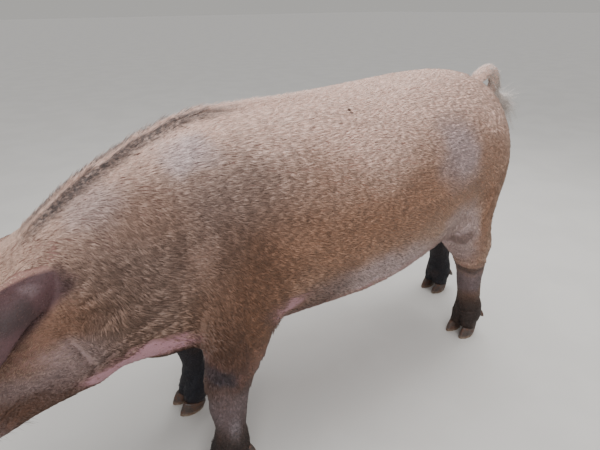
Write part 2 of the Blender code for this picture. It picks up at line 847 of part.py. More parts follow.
def make_snout_disc():
    """The rooting disc: a flat oval pad with a raised rim and two nostrils."""
    forward, side, up = head_axes()
    lean = math.radians(SNOUT_TILT)
    facing = (forward * math.cos(lean) - up * math.sin(lean)).normalized()
    rise = facing.cross(side).normalized()
    if rise.dot(up) < 0:
        rise = -rise
    centre = head_point(SNOUT_AT, 0, -SNOUT_DROP)
    rings = []
    rows = ((0.03, 0.95), (0.4, 1.04), (1.1, 1.06), (1.6, 1.0), (1.75, 0.9), (1.55, 0.76), (1.5, 0.3))
    for ahead, size in rows:
        rings.append(section(centre + facing * ahead * U, side, rise, SNOUT_HALF_WIDTH * size * U,
                             SNOUT_HALF_HEIGHT * size * U, SNOUT_HALF_HEIGHT * size * U * 0.94, 24, 2.2))
    parts = ([], [])
    add_loft(parts, rings)
    disc = mesh_object("snout_disc", parts, material("snout skin", SNOUT_SKIN, 0.5))
    for turn in (-1, 1):
        parts = ([], [])
        middle = centre + facing * 1.9 * U + side * turn * NOSTRIL_SPACING * U + rise * 0.25 * U
        add_ball(parts, middle, (NOSTRIL_RADII[0] * U, NOSTRIL_RADII[1] * U, NOSTRIL_DEPTH * U),
                 ((side + rise * 0.25 * turn).normalized(), rise, facing), 6, 10)
        pit = mesh_object("nostril", parts)
        boolean(disc, pit, "DIFFERENCE")
        discard(pit)
    return keep_largest(disc), facing


def snout_cut(facing):
    """Everything in front of the plane that carries the disc."""
    side = Vector((0, 1, 0))
    rise = facing.cross(side).normalized()
    centre = head_point(SNOUT_AT, 0, -SNOUT_DROP)
    parts = ([], [])
    square = ((-12, -12), (12, -12), (12, 12), (-12, 12))
    rings = [[centre + facing * a * U + side * y * U + rise * z * U for y, z in square]
             for a in (0.0, 12.0)]
    add_loft(parts, rings)
    return mesh_object("cutter", parts)


def make_hoof(name, foot, turn):
    """One cloven toe: flat on the floor, rounded in front, and cut level with the coronet."""
    x, y = toe_place(foot, turn)
    side = FEET[foot][1]
    outer = turn * side
    rings = []
    rows = ((0.0, 0.95, 0.0), (0.05, 1.0, 0.0), (0.3, 1.0, 0.25), (0.65, 0.97, 0.7), (1.0, 0.92, 1.15))
    for share, size, back in rows:
        ring = []
        for i in range(12):
            angle = 2 * math.pi * i / 12
            c, s = math.cos(angle), math.sin(angle)
            front = max(0.0, -c)
            width = HOOF_HALF_WIDTH * (1.0 - 0.38 * front ** 2.2)
            px = x - HOOF_SET_BACK + back + HOOF_HALF_LENGTH * size * c
            py = y + side * outer * 0.12 * front + width * size * s * (1.0 if s * turn > 0 else 0.8)
            top = coronet_height(foot, px) - GAP / U
            ring.append(Vector((px, py, share * top)) * U)
        rings.append(ring)
    parts = ([], [])
    add_loft(parts, rings)
    return mesh_object(name, parts, material(name + " horn", HORN, 0.45))


def coronet_height(foot, x):
    """The height of the sloping line between hoof and skin, in units."""
    return CORONET_HEIGHT + CORONET_SLOPE * (x - toe_place(foot, 1)[0])


def coronet_cut(foot):
    """The block under the coronet of one foot."""
    middle = toe_place(foot, 1)[0]
    y = FEET[foot][1] * FEET[foot][3]
    corners = []
    for x in (middle - 9, middle + 9):
        corners.append([Vector((x, y + w, z)) * U for w, z in
                        ((-9, -3), (9, -3), (9, coronet_height(foot, x)), (-9, coronet_height(foot, x)))])
    parts = ([], [])
    add_loft(parts, corners)
    return mesh_object("cutter", parts)


def make_dewclaw(name, foot, turn, leg):
    """One of the two small claws behind the foot, clear of the floor."""
    kind, side, shift, out = FEET[foot]
    rows = leg_rows(foot)
    x, y = rows[-2][0] + 2.6, rows[-2][1] + turn * 2.3
    start = Vector((x - 0.8, y, DEWCLAW_HEIGHT + 0.9)) * U
    lie = Vector((0.62, turn * 0.28, -0.78)).normalized()
    across = lie.cross(Vector((0, 1, 0))).normalized()
    other = lie.cross(across).normalized()
    rings = []
    for share, size in ((0.0, 0.9), (0.35, 1.0), (0.7, 0.72), (1.0, 0.3)):
        r = DEWCLAW_RADIUS * size * U
        rings.append(section(start + lie * share * DEWCLAW_LENGTH * U, across, other, r, r, r, 8))
    parts = ([], [])
    add_loft(parts, rings)
    claw = mesh_object(name, parts, material(name + " horn", HORN, 0.5))
    wider = grown(leg)
    boolean(claw, wider, "DIFFERENCE")
    discard(wider)
    return keep_largest(claw)


def make_feet(body):
    """Parts the four legs from the body, and gives each its hooves and dewclaws."""
    for foot, (kind, side, shift, out) in FEET.items():
        outline, (low, high) = FORE_CUT if kind == "fore" else HIND_CUT
        leg = part_off(body, prism(outline, low, high, side), foot + "_upper")
        joint = KNEE_HEIGHT if kind == "fore" else HOCK_HEIGHT
        lower = part_off(leg, block((low, -40, -5), (high, 40, joint)), foot + "_lower")
        boolean(lower, coronet_cut(foot), "DIFFERENCE")
        keep_largest(lower)
        for turn, where in ((side, "outer"), (-side, "inner")):
            make_hoof(f"{foot}_hoof_{where}", foot, turn)
            make_dewclaw(f"{foot}_dewclaw_{where}", foot, turn, lower)
        paint(leg, PINK_COAT)
        paint(lower, LEG_COAT)
    for spare in [o for o in bpy.data.objects if o.name.startswith("cutter")]:
        discard(spare)


def paint(obj, colour):
    """Gives a node its own finish and smooth shading."""
    obj.data.materials.clear()
    obj.data.materials.append(material(obj.name + " coat", colour, 0.8))


def set_on_origin(nodes):
    """Moves everything so that the middle of the box round the animal is over the origin."""
    low = np.min([np.min(mesh_arrays(o.data), axis=(0, 1)) for o in nodes], axis=0)
    high = np.max([np.max(mesh_arrays(o.data), axis=(0, 1)) for o in nodes], axis=0)
    shift = Vector((-(low[0] + high[0]) / 2, -(low[1] + high[1]) / 2, 0.0))
    for obj in nodes:
        obj.data.transform(Matrix.Translation(shift))


def main():
    clear_scene()
    flesh = make_flesh()
    body = reduced(flesh, "rump", BODY_TRIANGLES)
    fine = reduced(flesh, "fine", HEAD_TRIANGLES)
    discard(flesh)

    pitch = Matrix.Rotation(math.radians(-HEAD_PITCH), 3, "Y")
    x, _, z = HEAD_START
    reach = ((x - 60, -60, z - 24), (x + HEAD_CUT, 60, z + 50))
    head = boolean(fine, block(*reach, pitch, HEAD_START), "INTERSECT")
    head.name = "head"
    keep_largest(head)
    boolean(body, grown(block(*reach, pitch, HEAD_START)), "DIFFERENCE")
    keep_largest(body)

    make_feet(body)
    neck = part_off(body, leaning_block(NECK_CUT, -60), "neck")
    chest = part_off(body, leaning_block(CHEST_CUT, -90), "chest")
    barrel = part_off(body, leaning_block(RUMP_CUT, -90), "barrel")

    disc, facing = make_snout_disc()
    boolean(head, snout_cut(facing), "DIFFERENCE")
    add_mouth_line(head)
    make_eyes(head)
    for name, side in (("ear_left", -1), ("ear_right", 1)):
        make_ear(name, side, (head, neck))
    make_tail(body)
    add_crest({"neck": neck, "chest": chest, "barrel": barrel})

    for node, colour in ((head, FACE_COAT), (neck, PINK_COAT), (chest, PINK_COAT), (barrel, PINK_COAT),
                         (body, PINK_COAT)):
        paint(node, colour)
    for spare in [o for o in bpy.data.objects if o.name.startswith("cutter")]:
        discard(spare)
    set_on_origin(list(bpy.data.objects))


main()
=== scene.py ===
"""Standing boar: one skin with its folds, a coat of bristles, eyes, claws and a plain studio.

Lengths are metres. The boar looks along -X, its left side is -Y, and its feet stand on z = 0.
"""

import json
import math
from contextlib import contextmanager
from functools import partial

import bpy
import numpy as np
from mathutils import Matrix, Vector
from mathutils.bvhtree import BVHTree

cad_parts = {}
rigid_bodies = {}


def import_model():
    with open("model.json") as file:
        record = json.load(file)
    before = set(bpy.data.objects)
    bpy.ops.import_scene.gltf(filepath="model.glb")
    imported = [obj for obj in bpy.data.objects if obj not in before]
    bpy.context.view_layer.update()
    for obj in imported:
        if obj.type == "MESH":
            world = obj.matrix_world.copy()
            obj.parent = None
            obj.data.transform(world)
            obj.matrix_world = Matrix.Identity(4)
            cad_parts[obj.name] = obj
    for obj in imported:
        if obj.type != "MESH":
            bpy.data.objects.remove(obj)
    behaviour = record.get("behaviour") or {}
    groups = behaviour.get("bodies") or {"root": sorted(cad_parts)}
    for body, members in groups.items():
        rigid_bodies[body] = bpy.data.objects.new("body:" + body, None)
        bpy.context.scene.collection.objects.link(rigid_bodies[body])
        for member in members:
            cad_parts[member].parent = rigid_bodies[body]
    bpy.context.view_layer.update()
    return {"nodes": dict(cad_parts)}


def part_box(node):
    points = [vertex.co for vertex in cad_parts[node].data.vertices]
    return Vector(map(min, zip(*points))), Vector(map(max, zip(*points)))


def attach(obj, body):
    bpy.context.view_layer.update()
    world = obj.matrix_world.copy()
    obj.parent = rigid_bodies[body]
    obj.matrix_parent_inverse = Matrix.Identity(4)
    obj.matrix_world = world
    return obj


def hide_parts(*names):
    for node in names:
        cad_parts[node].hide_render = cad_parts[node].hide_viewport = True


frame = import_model()

bl_info = {
    "name": "Bristled boar",
    "version": (1, 0, 0),
    "blender": (4, 5, 0),
    "location": "View3D > Sidebar > Boar",
    "description": "Builds a boar's skin, coat, eyes and claws over its solids, and a plain studio",
    "category": "Object",
}

LEGS = ("fore_left", "fore_right", "hind_left", "hind_right")
CLAWS = ("hoof_outer", "hoof_inner", "dewclaw_outer", "dewclaw_inner")
SIDES = {"left": -1.0, "right": 1.0}
FLESH = ["head", "neck", "chest", "barrel", "rump", "ear_left", "ear_right", "snout_disc"]
FLESH += [leg + part for leg in LEGS for part in ("_upper", "_lower")]
PARTS = FLESH + ["tail"]
EYE_BOX = {side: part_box("eye_" + side) for side in SIDES}

# Head: its axis starts at the poll and runs to the snout, sloping down
HEAD_START = np.array((-0.5727, 0.0, 0.5266))
HEAD_SLOPE = math.radians(37.0)
AHEAD = np.array((-math.cos(HEAD_SLOPE), 0.0, -math.sin(HEAD_SLOPE)))
RISE = np.array((-math.sin(HEAD_SLOPE), 0.0, math.cos(HEAD_SLOPE)))
OUT = np.array((0.0, 1.0, 0.0))
# Places on the head's own axis, in metres
EYE_ALONG, EYE_OUT, EYE_RISE = 0.1524, 0.0818, 0.0583
NOSTRIL_OUT = 0.0196
# Most tufts that one piece of the coat holds
PIECE_TUFTS = 48000
# Middle line of the tail, from its root over its hoop to the tip
TAIL_LINE = (
    (0.64, 0.0, 0.775),
    (0.6655, 0.0, 0.8012),
    (0.7047, -0.0022, 0.833),
    (0.74, -0.0056, 0.85),
    (0.77, -0.0067, 0.843),
    (0.791, -0.0045, 0.818),
    (0.799, 0.0034, 0.785),
    (0.8145, 0.0112, 0.7597),
    (0.836, 0.014, 0.75),
)


def head_point(along, out, rise):
    """A place given on the head's own axis, in metres."""
    return HEAD_START + AHEAD * along + OUT * out + RISE * rise


def setting(name, text, default, kind=bpy.props.FloatProperty, **more):
    """A setting of the scene with its name, its text and its first value."""
    return kind(name=name, description=text, default=default, **more)


def metres(name, text, default):
    """A length in metres."""
    return setting(name, text, default, unit="LENGTH")


def degrees(name, text, default):
    """An angle, given in degrees."""
    return setting(name, text, math.radians(default), subtype="ANGLE")


def number(name, text, default):
    """A whole number."""
    return setting(name, text, default, bpy.props.IntProperty)


def hue(name, text, default):
    """A colour from an sRGB hex value."""
    return setting(name, text, linear(default), bpy.props.FloatVectorProperty,
                   subtype="COLOR", size=4, min=0.0, max=1.0)


def linear(code):
    """An sRGB hex colour as linear red, green, blue and alpha."""
    parts = [int(code[i : i + 2], 16) / 255 for i in (1, 3, 5)]
    return tuple(c / 12.92 if c <= 0.04045 else ((c + 0.055) / 1.055) ** 2.4 for c in parts) + (1.0,)


class BoarSkinSizes(bpy.types.PropertyGroup):
    grain: metres("Grain", "Size of the cells the skin is first made from", 0.0034)
    coat_depth: metres("Coat depth", "How far the skin lies inside the solids", 0.0028)
    triangles: number("Triangles", "Triangles left before the eyes and snout are refined", 118000)
    eye_radius: metres("Eyeball radius", "Radius of each eyeball", 0.0134)
    eye_sink: metres("Eye sink", "How far the eyeball sits deeper than its solid", 0.002)
    lid_thickness: metres("Lid thickness", "Thickness of the eyelids", 0.0022)


class BoarCoatSizes(bpy.types.PropertyGroup):
    tufts: number("Tufts", "Tufts in the whole short coat", 320000)
    length: metres("Body length", "Length of a tuft on the trunk", 0.027)
    width: metres("Body width", "Width of a tuft on the trunk", 0.00135)
    lift: setting("Lift", "Height of a tuft's tip over the skin, as a share of its length", 0.14)
    crest: number("Crest bristles", "Bristles along the ridge of the neck", 5600)
    tail: number("Tail hairs", "Long hairs of the tail tuft", 3600)
    seed: number("Seed", "Seed of every random draw", 11)


class BoarColours(bpy.types.PropertyGroup):
    cream: hue("Cream hair", "Clean bristles on the back", "#ecc9b9")
    # sheen is a painted highlight rather than a hair colour: the pale sheen of light on the bristles over the
    # shoulder and neck, and on the fore cannons
    sheen: hue("Pale hair", "Lavender white bristles over the shoulder", "#d9d2dc")
    straw: hue("Straw hair", "Bristles stained a light straw brown", "#b89783")
    ochre: hue("Ochre hair", "Bristles stained with dry soil low on the sides", "#9f7459")
    grey: hue("Grey hair", "Bristles greyed over the shoulder and ribs", "#857067")
    # crest is partly darker grey hair and partly painted shade: the shadow of the raised bristles along the
    # neck's ridge
    crest: hue("Crest shade", "Dark roots of the bristles on the neck", "#5b5453")
    mauve: hue("Mauve", "Thin haired skin of the ham", "#c4b2b6")
    pink: hue("Pink skin", "Clean skin under the coat", "#b98d84")
    bare: hue("Bare skin", "Bare skin of throat, armpit and groin", "#ab8089")
    # soil also serves as painted shade on the cheek, on the neck behind the ear and on the side of the
    # shoulder
    soil: hue("Soil", "Dried mud in the coat", "#5d4032")
    # wet also serves as painted shade in the hollow of each ear and in the nostrils
    wet: hue("Wet soil", "Dark wet mud on the feet", "#211a19")
    blue_black: hue("Blue black", "Wet mud on knees and far legs", "#22232b")
    slate: hue("Slate", "Thin mud dried blue grey on the cannons", "#71656a")
    ear: hue("Ear skin", "Purple brown skin of the ear", "#4d3436")
    lid: hue("Eyelid skin", "Bare dusky rims of the eyelids", "#8f6763")
    disc: hue("Snout skin", "Moist skin of the snout disc", "#a8807c")
    horn: hue("Horn", "Horn of the claws", "#4a3c35")
    horn_tip: hue("Horn edge", "Worn pale edge of the claws", "#8d7a66")
    iris: hue("Iris", "Brown of the iris", "#2e1b10")
    white: hue("White of the eye", "Bloodshot white of the eye", "#9a8072")
    floor: hue("Floor", "Plain pale floor", "#cfccc7")


class BoarStudio(bpy.types.PropertyGroup):
    eye_point: setting("Camera place", "Where the camera stands", (-0.671, -0.9318, 1.0472),
                       bpy.props.FloatVectorProperty, subtype="XYZ")
    yaw: degrees("Yaw", "Turn of the camera from +Y towards +X", 36.1)
    pitch: degrees("Pitch", "Camera's slope below the horizon", 24.62)
    roll: degrees("Roll", "Camera's roll", -0.58)
    lens: setting("Lens", "Focal length in millimetres", 28.76)


GROUPS = {"skin": BoarSkinSizes, "coat": BoarCoatSizes, "colours": BoarColours, "studio": BoarStudio}


# Turns in the coat: the middle of each, its reach and its angle
WHORLS = (
    ((-0.545, 0.145, 0.53), 0.07, -1.5),
    ((-0.478, 0.153, 0.52), 0.065, 1.0),
    ((-0.585, 0.138, 0.6), 0.06, 0.7),
    ((0.33, 0.215, 0.56), 0.08, -0.7),
)


def sizes():
    """The skin's sizes set on the scene."""
    return bpy.context.scene.boar_skin


def coat():
    """The coat's sizes set on the scene."""
    return bpy.context.scene.boar_coat


def colour(name):
    """One of the colours set on the scene."""
    return tuple(getattr(bpy.context.scene.boar_colours, name))


# Small helpers for objects


def deselect_all():
    """Leaves object mode with nothing selected."""
    if bpy.context.object and bpy.context.object.mode != "OBJECT":
        bpy.ops.object.mode_set(mode="OBJECT")
    bpy.ops.object.select_all(action="DESELECT")


def choose(*objects):
    """Selects these objects alone, the last one active."""
    deselect_all()
    for item in objects:
        item.select_set(True)
    bpy.context.view_layer.objects.active = objects[-1]


def finished(item, *nodes):
    """The piece rides on the body and stands for these nodes."""
    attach(item, "root")
    if nodes:
        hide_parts(*nodes)


def modified(item, kind, **settings):
    """Adds a modifier with its settings and applies it."""
    choose(item)
    made = item.modifiers.new(kind.title(), kind)
    # Hidden until it is applied, so that it is worked out only once
    made.show_viewport = False
    for key, value in settings.items():
        setattr(made, key, value)
    bpy.ops.object.modifier_apply(modifier=made.name)


@contextmanager
def editing(item, kind="VERT", chosen=None):
    """Edit mode on one object, with all of it selected, or only the chosen points or faces."""
    choose(item)
    bpy.ops.object.mode_set(mode="EDIT")
    bpy.ops.mesh.select_mode(type=kind)
    bpy.ops.mesh.select_all(action="SELECT" if chosen is None else "DESELECT")
    if chosen is not None:
        bpy.ops.object.mode_set(mode="OBJECT")
        rows = item.data.vertices if kind == "VERT" else item.data.polygons
        rows.foreach_set("select", chosen)
        bpy.ops.object.mode_set(mode="EDIT")
    yield
    bpy.ops.object.mode_set(mode="OBJECT")


def copy_of(node):
    """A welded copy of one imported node, grown a hair so that its neighbours join."""
    mesh = frame["nodes"][node].data.copy()
    mesh.materials.clear()
    item = bpy.data.objects.new("copy_" + node, mesh)
    bpy.context.scene.collection.objects.link(item)
    with editing(item):
        bpy.ops.mesh.remove_doubles(threshold=0.00002)
        bpy.ops.transform.shrink_fatten(value=0.0005)
    return item


def joined(items, name):
    """Joins objects into one of that name."""
    choose(*items)
    bpy.ops.object.join()
    whole = bpy.context.object
    whole.name = name
    whole.data.name = name
    return whole


def column(rows, key, kind=np.float32):
    """Three numbers of each row of a mesh's data as an array."""
    found = np.empty(len(rows) * 3, kind)
    rows.foreach_get(key, found)
    return found.reshape(-1, 3)


def places(item):
    """A mesh's points as an array."""
    return column(item.data.vertices, "co").astype(np.float64)


def normals(item):
    """A mesh's point normals as an array."""
    return column(item.data.vertices, "normal").astype(np.float64)


def triangles(item):
    """A mesh's triangles as an array."""
    item.data.calc_loop_triangles()
    return column(item.data.loop_triangles, "vertices", np.int32)


def set_places(item, co):
    """Writes the points back to the mesh."""
    item.data.vertices.foreach_set("co", co.astype(np.float32).ravel())
    item.data.update()


def weigh(item, name, weights):
    """A vertex group from an array of weights, in twenty steps."""
    group = item.vertex_groups.new(name=name)
    steps = np.round(np.clip(weights, 0, 1) * 20).astype(int)
    for step in range(1, 21):
        members = np.nonzero(steps == step)[0].tolist()
        if members:
            group.add(members, step / 20, "REPLACE")


def soften(item, weights, times):
    """Smooths the mesh where the weights say."""
    weigh(item, "soft", weights)
    modified(item, "SMOOTH", factor=0.5, iterations=times, vertex_group="soft")
    item.vertex_groups.clear()


def unit(v):
    """Vectors scaled to length one."""
    return v / (np.linalg.norm(v, axis=-1, keepdims=True) + 1e-12)


def ramp(x, low, high):
    """Smooth step from 0 at low to 1 at high."""
    t = np.clip((x - low) / (high - low), 0, 1)
    return t * t * (3 - 2 * t)


def ball(co, centre, radii):
    """1 at the middle of an ellipsoid, falling smoothly to 0 at its edge."""
    d = np.linalg.norm((co - np.array(centre)) / np.array(radii), axis=1)
    return ramp(1 - d, 0.0, 1.0)


def bell(x, middle, width):
    """1 at the middle, falling to 0 on both sides like a bell."""
    return np.exp(-(((x - middle) / width) ** 2))


def folded(co):
    """Both sides of the animal laid on its right side."""
    half = co.copy()
    half[:, 1] = np.abs(half[:, 1])
    return half


def ripple(co, size, seed):
    """Smooth noise between about -1 and 1 from a few crossed waves of that size."""
    draw = np.random.default_rng(seed)
    total = np.zeros(len(co))
    for _ in range(7):
        way = unit(draw.normal(size=3)) * (2 * math.pi / size) * draw.uniform(0.6, 1.5)
        total += np.sin(co @ way + draw.uniform(0, 6.28))
    return total / 3.2


def curve_through(points, count):
    """Points evenly along a smooth curve through the given ones."""
    p = np.array(points, float)
    p = np.vstack([2 * p[0] - p[1], p, 2 * p[-1] - p[-2]])
    spans = len(p) - 3
    made = []
    for t in np.linspace(0, spans - 1e-6, count):
        i = int(t)
        f = t - i
        a, b, c, d = p[i : i + 4]
        square, cube = 2 * a - 5 * b + 4 * c - d, 3 * b - a - 3 * c + d
        made.append(0.5 * (2 * b + (c - a) * f + square * f**2 + cube * f**3))
    return np.array(made)


def tail_core():
    """The tail's flesh as a tapering tube along its hoop."""
    deselect_all()
    bpy.ops.curve.primitive_nurbs_path_add(location=(0, 0, 0))
    item = bpy.context.object
    data = item.data
    data.splines.clear()
    line = data.splines.new("POLY")
    points = curve_through(TAIL_LINE, 40)
    line.points.add(len(points) - 1)
    for i, place in enumerate(points):
        share = i / (len(points) - 1)
        line.points[i].co = (*place, 1.0)
        line.points[i].radius = tail_width(share)
    data.bevel_depth = 1.0
    data.bevel_resolution = 6
    data.use_fill_caps = True
    choose(item)
    bpy.ops.object.convert(target="MESH")
    return bpy.context.object


# The skin


def head_parts(co):
    """Each point's place on the head's own axis: along, out and rise."""
    rel = co - HEAD_START
    return rel @ AHEAD, rel @ OUT, rel @ RISE


def eye_axes(side):
    """Centre of an eye and its gaze, length and height directions."""
    low, high = EYE_BOX[side]
    hand = SIDES[side]
    gaze = unit(AHEAD * 0.36 + OUT * hand * 0.92 + RISE * 0.14)
    centre = head_point(EYE_ALONG, EYE_OUT * hand, EYE_RISE) - gaze * sizes().eye_sink
    if not all(low[i] - 0.01 < centre[i] < high[i] + 0.01 for i in range(3)):
        raise RuntimeError("the eye no longer sits where its solid is")
    length = AHEAD - RISE * 0.22
    length = unit(length - gaze * (length @ gaze))
    height = unit(np.cross(length, gaze)) * -hand
    if height @ RISE < 0:
        height = -height
    return centre, gaze, length, height


def snout_axes():
    """Centre of the snout disc's face and its forward, sideways and upward directions."""
    tilt = math.radians(8.0)
    forward = AHEAD * math.cos(tilt) - RISE * math.sin(tilt)
    up = AHEAD * math.sin(tilt) + RISE * math.cos(tilt)
    return head_point(0.3843, 0.0, -0.0022) + forward * 0.0175, forward, OUT, up


# Line of the mouth on the head's own axis
MOUTH = ((0.164, 0.099, -0.02), (0.186, 0.09, -0.03), (0.224, 0.079, -0.034), (0.28, 0.067, -0.037),
         (0.33, 0.056, -0.04), (0.372, 0.04, -0.048), (0.392, 0.016, -0.054), (0.394, -0.002, -0.055))


# Folds of one side: the points each runs through, its width and its depth, in metres
CREASES = (
    (((-0.606, -0.13, 0.54), (-0.592, -0.145, 0.49), (-0.566, -0.135, 0.425)), 0.012, 0.0045),
    (((-0.505, -0.12, 0.69), (-0.507, -0.15, 0.6), (-0.495, -0.155, 0.52), (-0.478, -0.13, 0.45)),
     0.018, 0.005),
    (((-0.585, -0.132, 0.42), (-0.549, -0.138, 0.443), (-0.505, -0.14, 0.455), (-0.455, -0.147, 0.46),
      (-0.4, -0.15, 0.452), (-0.375, -0.15, 0.44)), 0.012, 0.007),
    (((-0.462, -0.16, 0.57), (-0.457, -0.162, 0.52), (-0.45, -0.145, 0.47)), 0.014, 0.0045),
    (((-0.402, -0.14, 0.67), (-0.392, -0.17, 0.57), (-0.385, -0.17, 0.48)), 0.026, 0.006),
    (((-0.205, -0.195, 0.66), (-0.212, -0.205, 0.57), (-0.228, -0.205, 0.49)), 0.026, 0.0045),
    (((-0.25, -0.213, 0.452), (-0.215, -0.212, 0.478), (-0.185, -0.208, 0.505)), 0.01, 0.006),
    (((-0.215, -0.205, 0.47), (-0.18, -0.2, 0.462), (-0.14, -0.19, 0.47)), 0.012, 0.004),
    (((0.222, -0.228, 0.6), (0.262, -0.226, 0.54), (0.305, -0.205, 0.46)), 0.022, 0.007),
    (((0.24, -0.205, 0.425), (0.29, -0.2, 0.43), (0.345, -0.18, 0.42)), 0.01, 0.0045),
    (((0.275, -0.205, 0.74), (0.255, -0.225, 0.665), (0.262, -0.232, 0.6)), 0.026, 0.0035),
    (((0.4, -0.218, 0.56), (0.45, -0.205, 0.54), (0.51, -0.205, 0.53)), 0.022, 0.0035),
    (((0.56, -0.215, 0.64), (0.59, -0.2, 0.56), (0.59, -0.185, 0.48)), 0.024, 0.004),
    (((0.655, -0.06, 0.8), (0.69, -0.085, 0.74), (0.7, -0.09, 0.66)), 0.016, 0.0035),
)


# The same on the head's own axis: mouth, snout wrinkles, brows, lower lid, temple and cheek
FACE_LINES = (
    (MOUTH, 0.0042, 0.0065),
    (((0.178, 0.088, -0.05), (0.215, 0.074, -0.056), (0.26, 0.06, -0.06), (0.31, 0.046, -0.062)),
     0.008, 0.0022),
    (((0.286, 0.044, -0.012), (0.296, 0.028, 0.028), (0.3, 0.0, 0.04)), 0.005, 0.0018),
    (((0.306, 0.046, -0.014), (0.318, 0.028, 0.026), (0.322, 0.0, 0.038)), 0.0048, 0.0024),
    (((0.326, 0.046, -0.016), (0.338, 0.028, 0.026), (0.342, 0.0, 0.037)), 0.0045, 0.0026),
    (((0.348, 0.046, -0.014), (0.358, 0.03, 0.026), (0.361, 0.0, 0.037)), 0.0045, 0.0026),
    (((0.122, 0.086, 0.086), (0.146, 0.088, 0.092), (0.172, 0.078, 0.088)), 0.0055, 0.003),
    (((0.112, 0.08, 0.098), (0.146, 0.082, 0.105), (0.18, 0.07, 0.096)), 0.006, 0.0024),
    (((0.1, 0.066, 0.112), (0.14, 0.062, 0.118), (0.185, 0.05, 0.104)), 0.007, 0.0018),
    (((0.128, 0.094, 0.036), (0.152, 0.094, 0.029), (0.18, 0.083, 0.034)), 0.005, 0.0026),
    (((0.124, 0.098, 0.022), (0.154, 0.098, 0.014), (0.19, 0.085, 0.02)), 0.006, 0.002),
    (((0.186, 0.074, 0.052), (0.206, 0.064, 0.04), (0.23, 0.062, 0.018)), 0.006, 0.0022),
    (((0.11, 0.099, 0.06), (0.09, 0.104, 0.04), (0.078, 0.108, 0.01)), 0.009, 0.003),
    (((0.158, 0.098, -0.036), (0.135, 0.106, -0.052), (0.1, 0.114, -0.04)), 0.01, 0.0036),
    (((0.148, 0.096, -0.06), (0.115, 0.104, -0.078), (0.075, 0.108, -0.075)), 0.011, 0.0034),
)


# Middle line of each leg, from the elbow or the stifle down to the claws
LEG_LINES = {
    "fore_left": ((-0.273, -0.165, 0.4), (-0.294, -0.152, 0.32), (-0.306, -0.152, 0.26),
                  (-0.309, -0.151, 0.16), (-0.312, -0.152, 0.1), (-0.335, -0.152, 0.04)),
    "fore_right": ((-0.255, 0.14, 0.4), (-0.271, 0.115, 0.32), (-0.283, 0.107, 0.26),
                   (-0.282, 0.105, 0.16), (-0.281, 0.107, 0.1), (-0.303, 0.107, 0.04)),
    "hind_left": ((0.535, -0.155, 0.42), (0.578, -0.148, 0.32), (0.59, -0.148, 0.25),
                  (0.605, -0.148, 0.17), (0.619, -0.147, 0.1), (0.607, -0.148, 0.04)),
    "hind_right": ((0.585, 0.13, 0.42), (0.673, 0.096, 0.32), (0.735, 0.093, 0.25),
                   (0.754, 0.092, 0.17), (0.763, 0.1, 0.1), (0.754, 0.095, 0.04)),
}


# Joints, tendons and hollows: height, turn from the front and reach round the leg in degrees,
# reach along the leg, and how far the skin rises
LEG_FORMS = {
    "fore": ((0.285, 0, 70, 0.045, 0.006), (0.3, 180, 40, 0.024, 0.007), (0.29, 80, 35, 0.03, 0.004),
             (0.232, 0, 60, 0.03, -0.004), (0.35, 150, 40, 0.05, 0.004), (0.35, 60, 40, 0.04, 0.003)),
    "hind": ((0.338, 180, 36, 0.03, 0.002), (0.415, 180, 60, 0.08, -0.014), (0.375, 112, 30, 0.045, -0.008),
             (0.3, 0, 60, 0.024, -0.004), (0.312, 80, 32, 0.024, 0.005), (0.255, 180, 40, 0.03, -0.002),
             (0.4, 40, 40, 0.05, 0.004)),
    "both": ((0.19, 112, 24, 0.075, -0.0055), (0.19, 180, 34, 0.08, 0.004), (0.19, 0, 50, 0.06, 0.002),
             (0.115, 0, 70, 0.026, 0.0035), (0.118, 95, 34, 0.022, 0.0035), (0.142, 150, 40, 0.016, -0.003),
             (0.078, 0, 60, 0.016, -0.0035), (0.05, 0, 13, 0.036, -0.007), (0.06, 180, 15, 0.04, -0.006)),
}


# Small folds over knees and fetlocks: place of the top one, and how many lie below one another
KNEE_FOLDS = (
    (-0.35, -0.152, 0.262, 3),
    (-0.35, -0.152, 0.092, 2),
    (0.585, -0.148, 0.095, 2),
    (0.552, -0.148, 0.292, 2),
)


def creases(co, no, tree):
    """Presses soft folds into the skin along lines, a roll on each side of every one."""
    lines = list(CREASES)
    for rows, width, depth in FACE_LINES:
        lines.append(([head_point(a, -o, r) for a, o, r in rows], width, depth))
    for x, y, top, count in KNEE_FOLDS:
        for k in range(count):
            z = top - 0.013 * k
            rows = ((x + 0.018, y - 0.035, z + 0.004), (x, y, z), (x + 0.018, y + 0.035, z + 0.003))
            lines.append((rows, 0.005, 0.0022))
    shift = np.zeros(len(co))
    for rows, width, depth in lines:
        for hand in (1.0, -1.0):
            path = curve_through([(x, y * hand, z) for x, y, z in rows], 24)
            path = np.array([tree.find_nearest(Vector(p))[0] for p in path])
            low, high = path.min(0) - 4 * width, path.max(0) + 4 * width
            near = np.nonzero(((co > low) & (co < high)).all(1))[0]
            if not len(near):
                continue
            gap = np.full(len(near), 1e9)
            share = np.zeros(len(near))
            for i in range(len(path) - 1):
                step = path[i + 1] - path[i]
                t = np.clip(((co[near] - path[i]) @ step) / (step @ step + 1e-12), 0, 1)
                d = np.linalg.norm(co[near] - path[i] - t[:, None] * step, axis=1)
                closer = d < gap
                gap[closer] = d[closer]
                share[closer] = ((i + t) / (len(path) - 1))[closer]
            fade = np.clip(np.minimum(share, 1 - share) / 0.22, 0.05, 1)
            if abs(rows[-1][1]) < 0.004:
                fade = np.clip(share / 0.1, 0.05, 1)
            # A roll beside the fold, and the fold itself
            dent = 0.4 * bell(gap, 1.5 * width, 0.9 * width) - bell(gap, 0, width * 0.62)
            shift[near] += dent * depth * fade
    return co + no * shift[:, None]


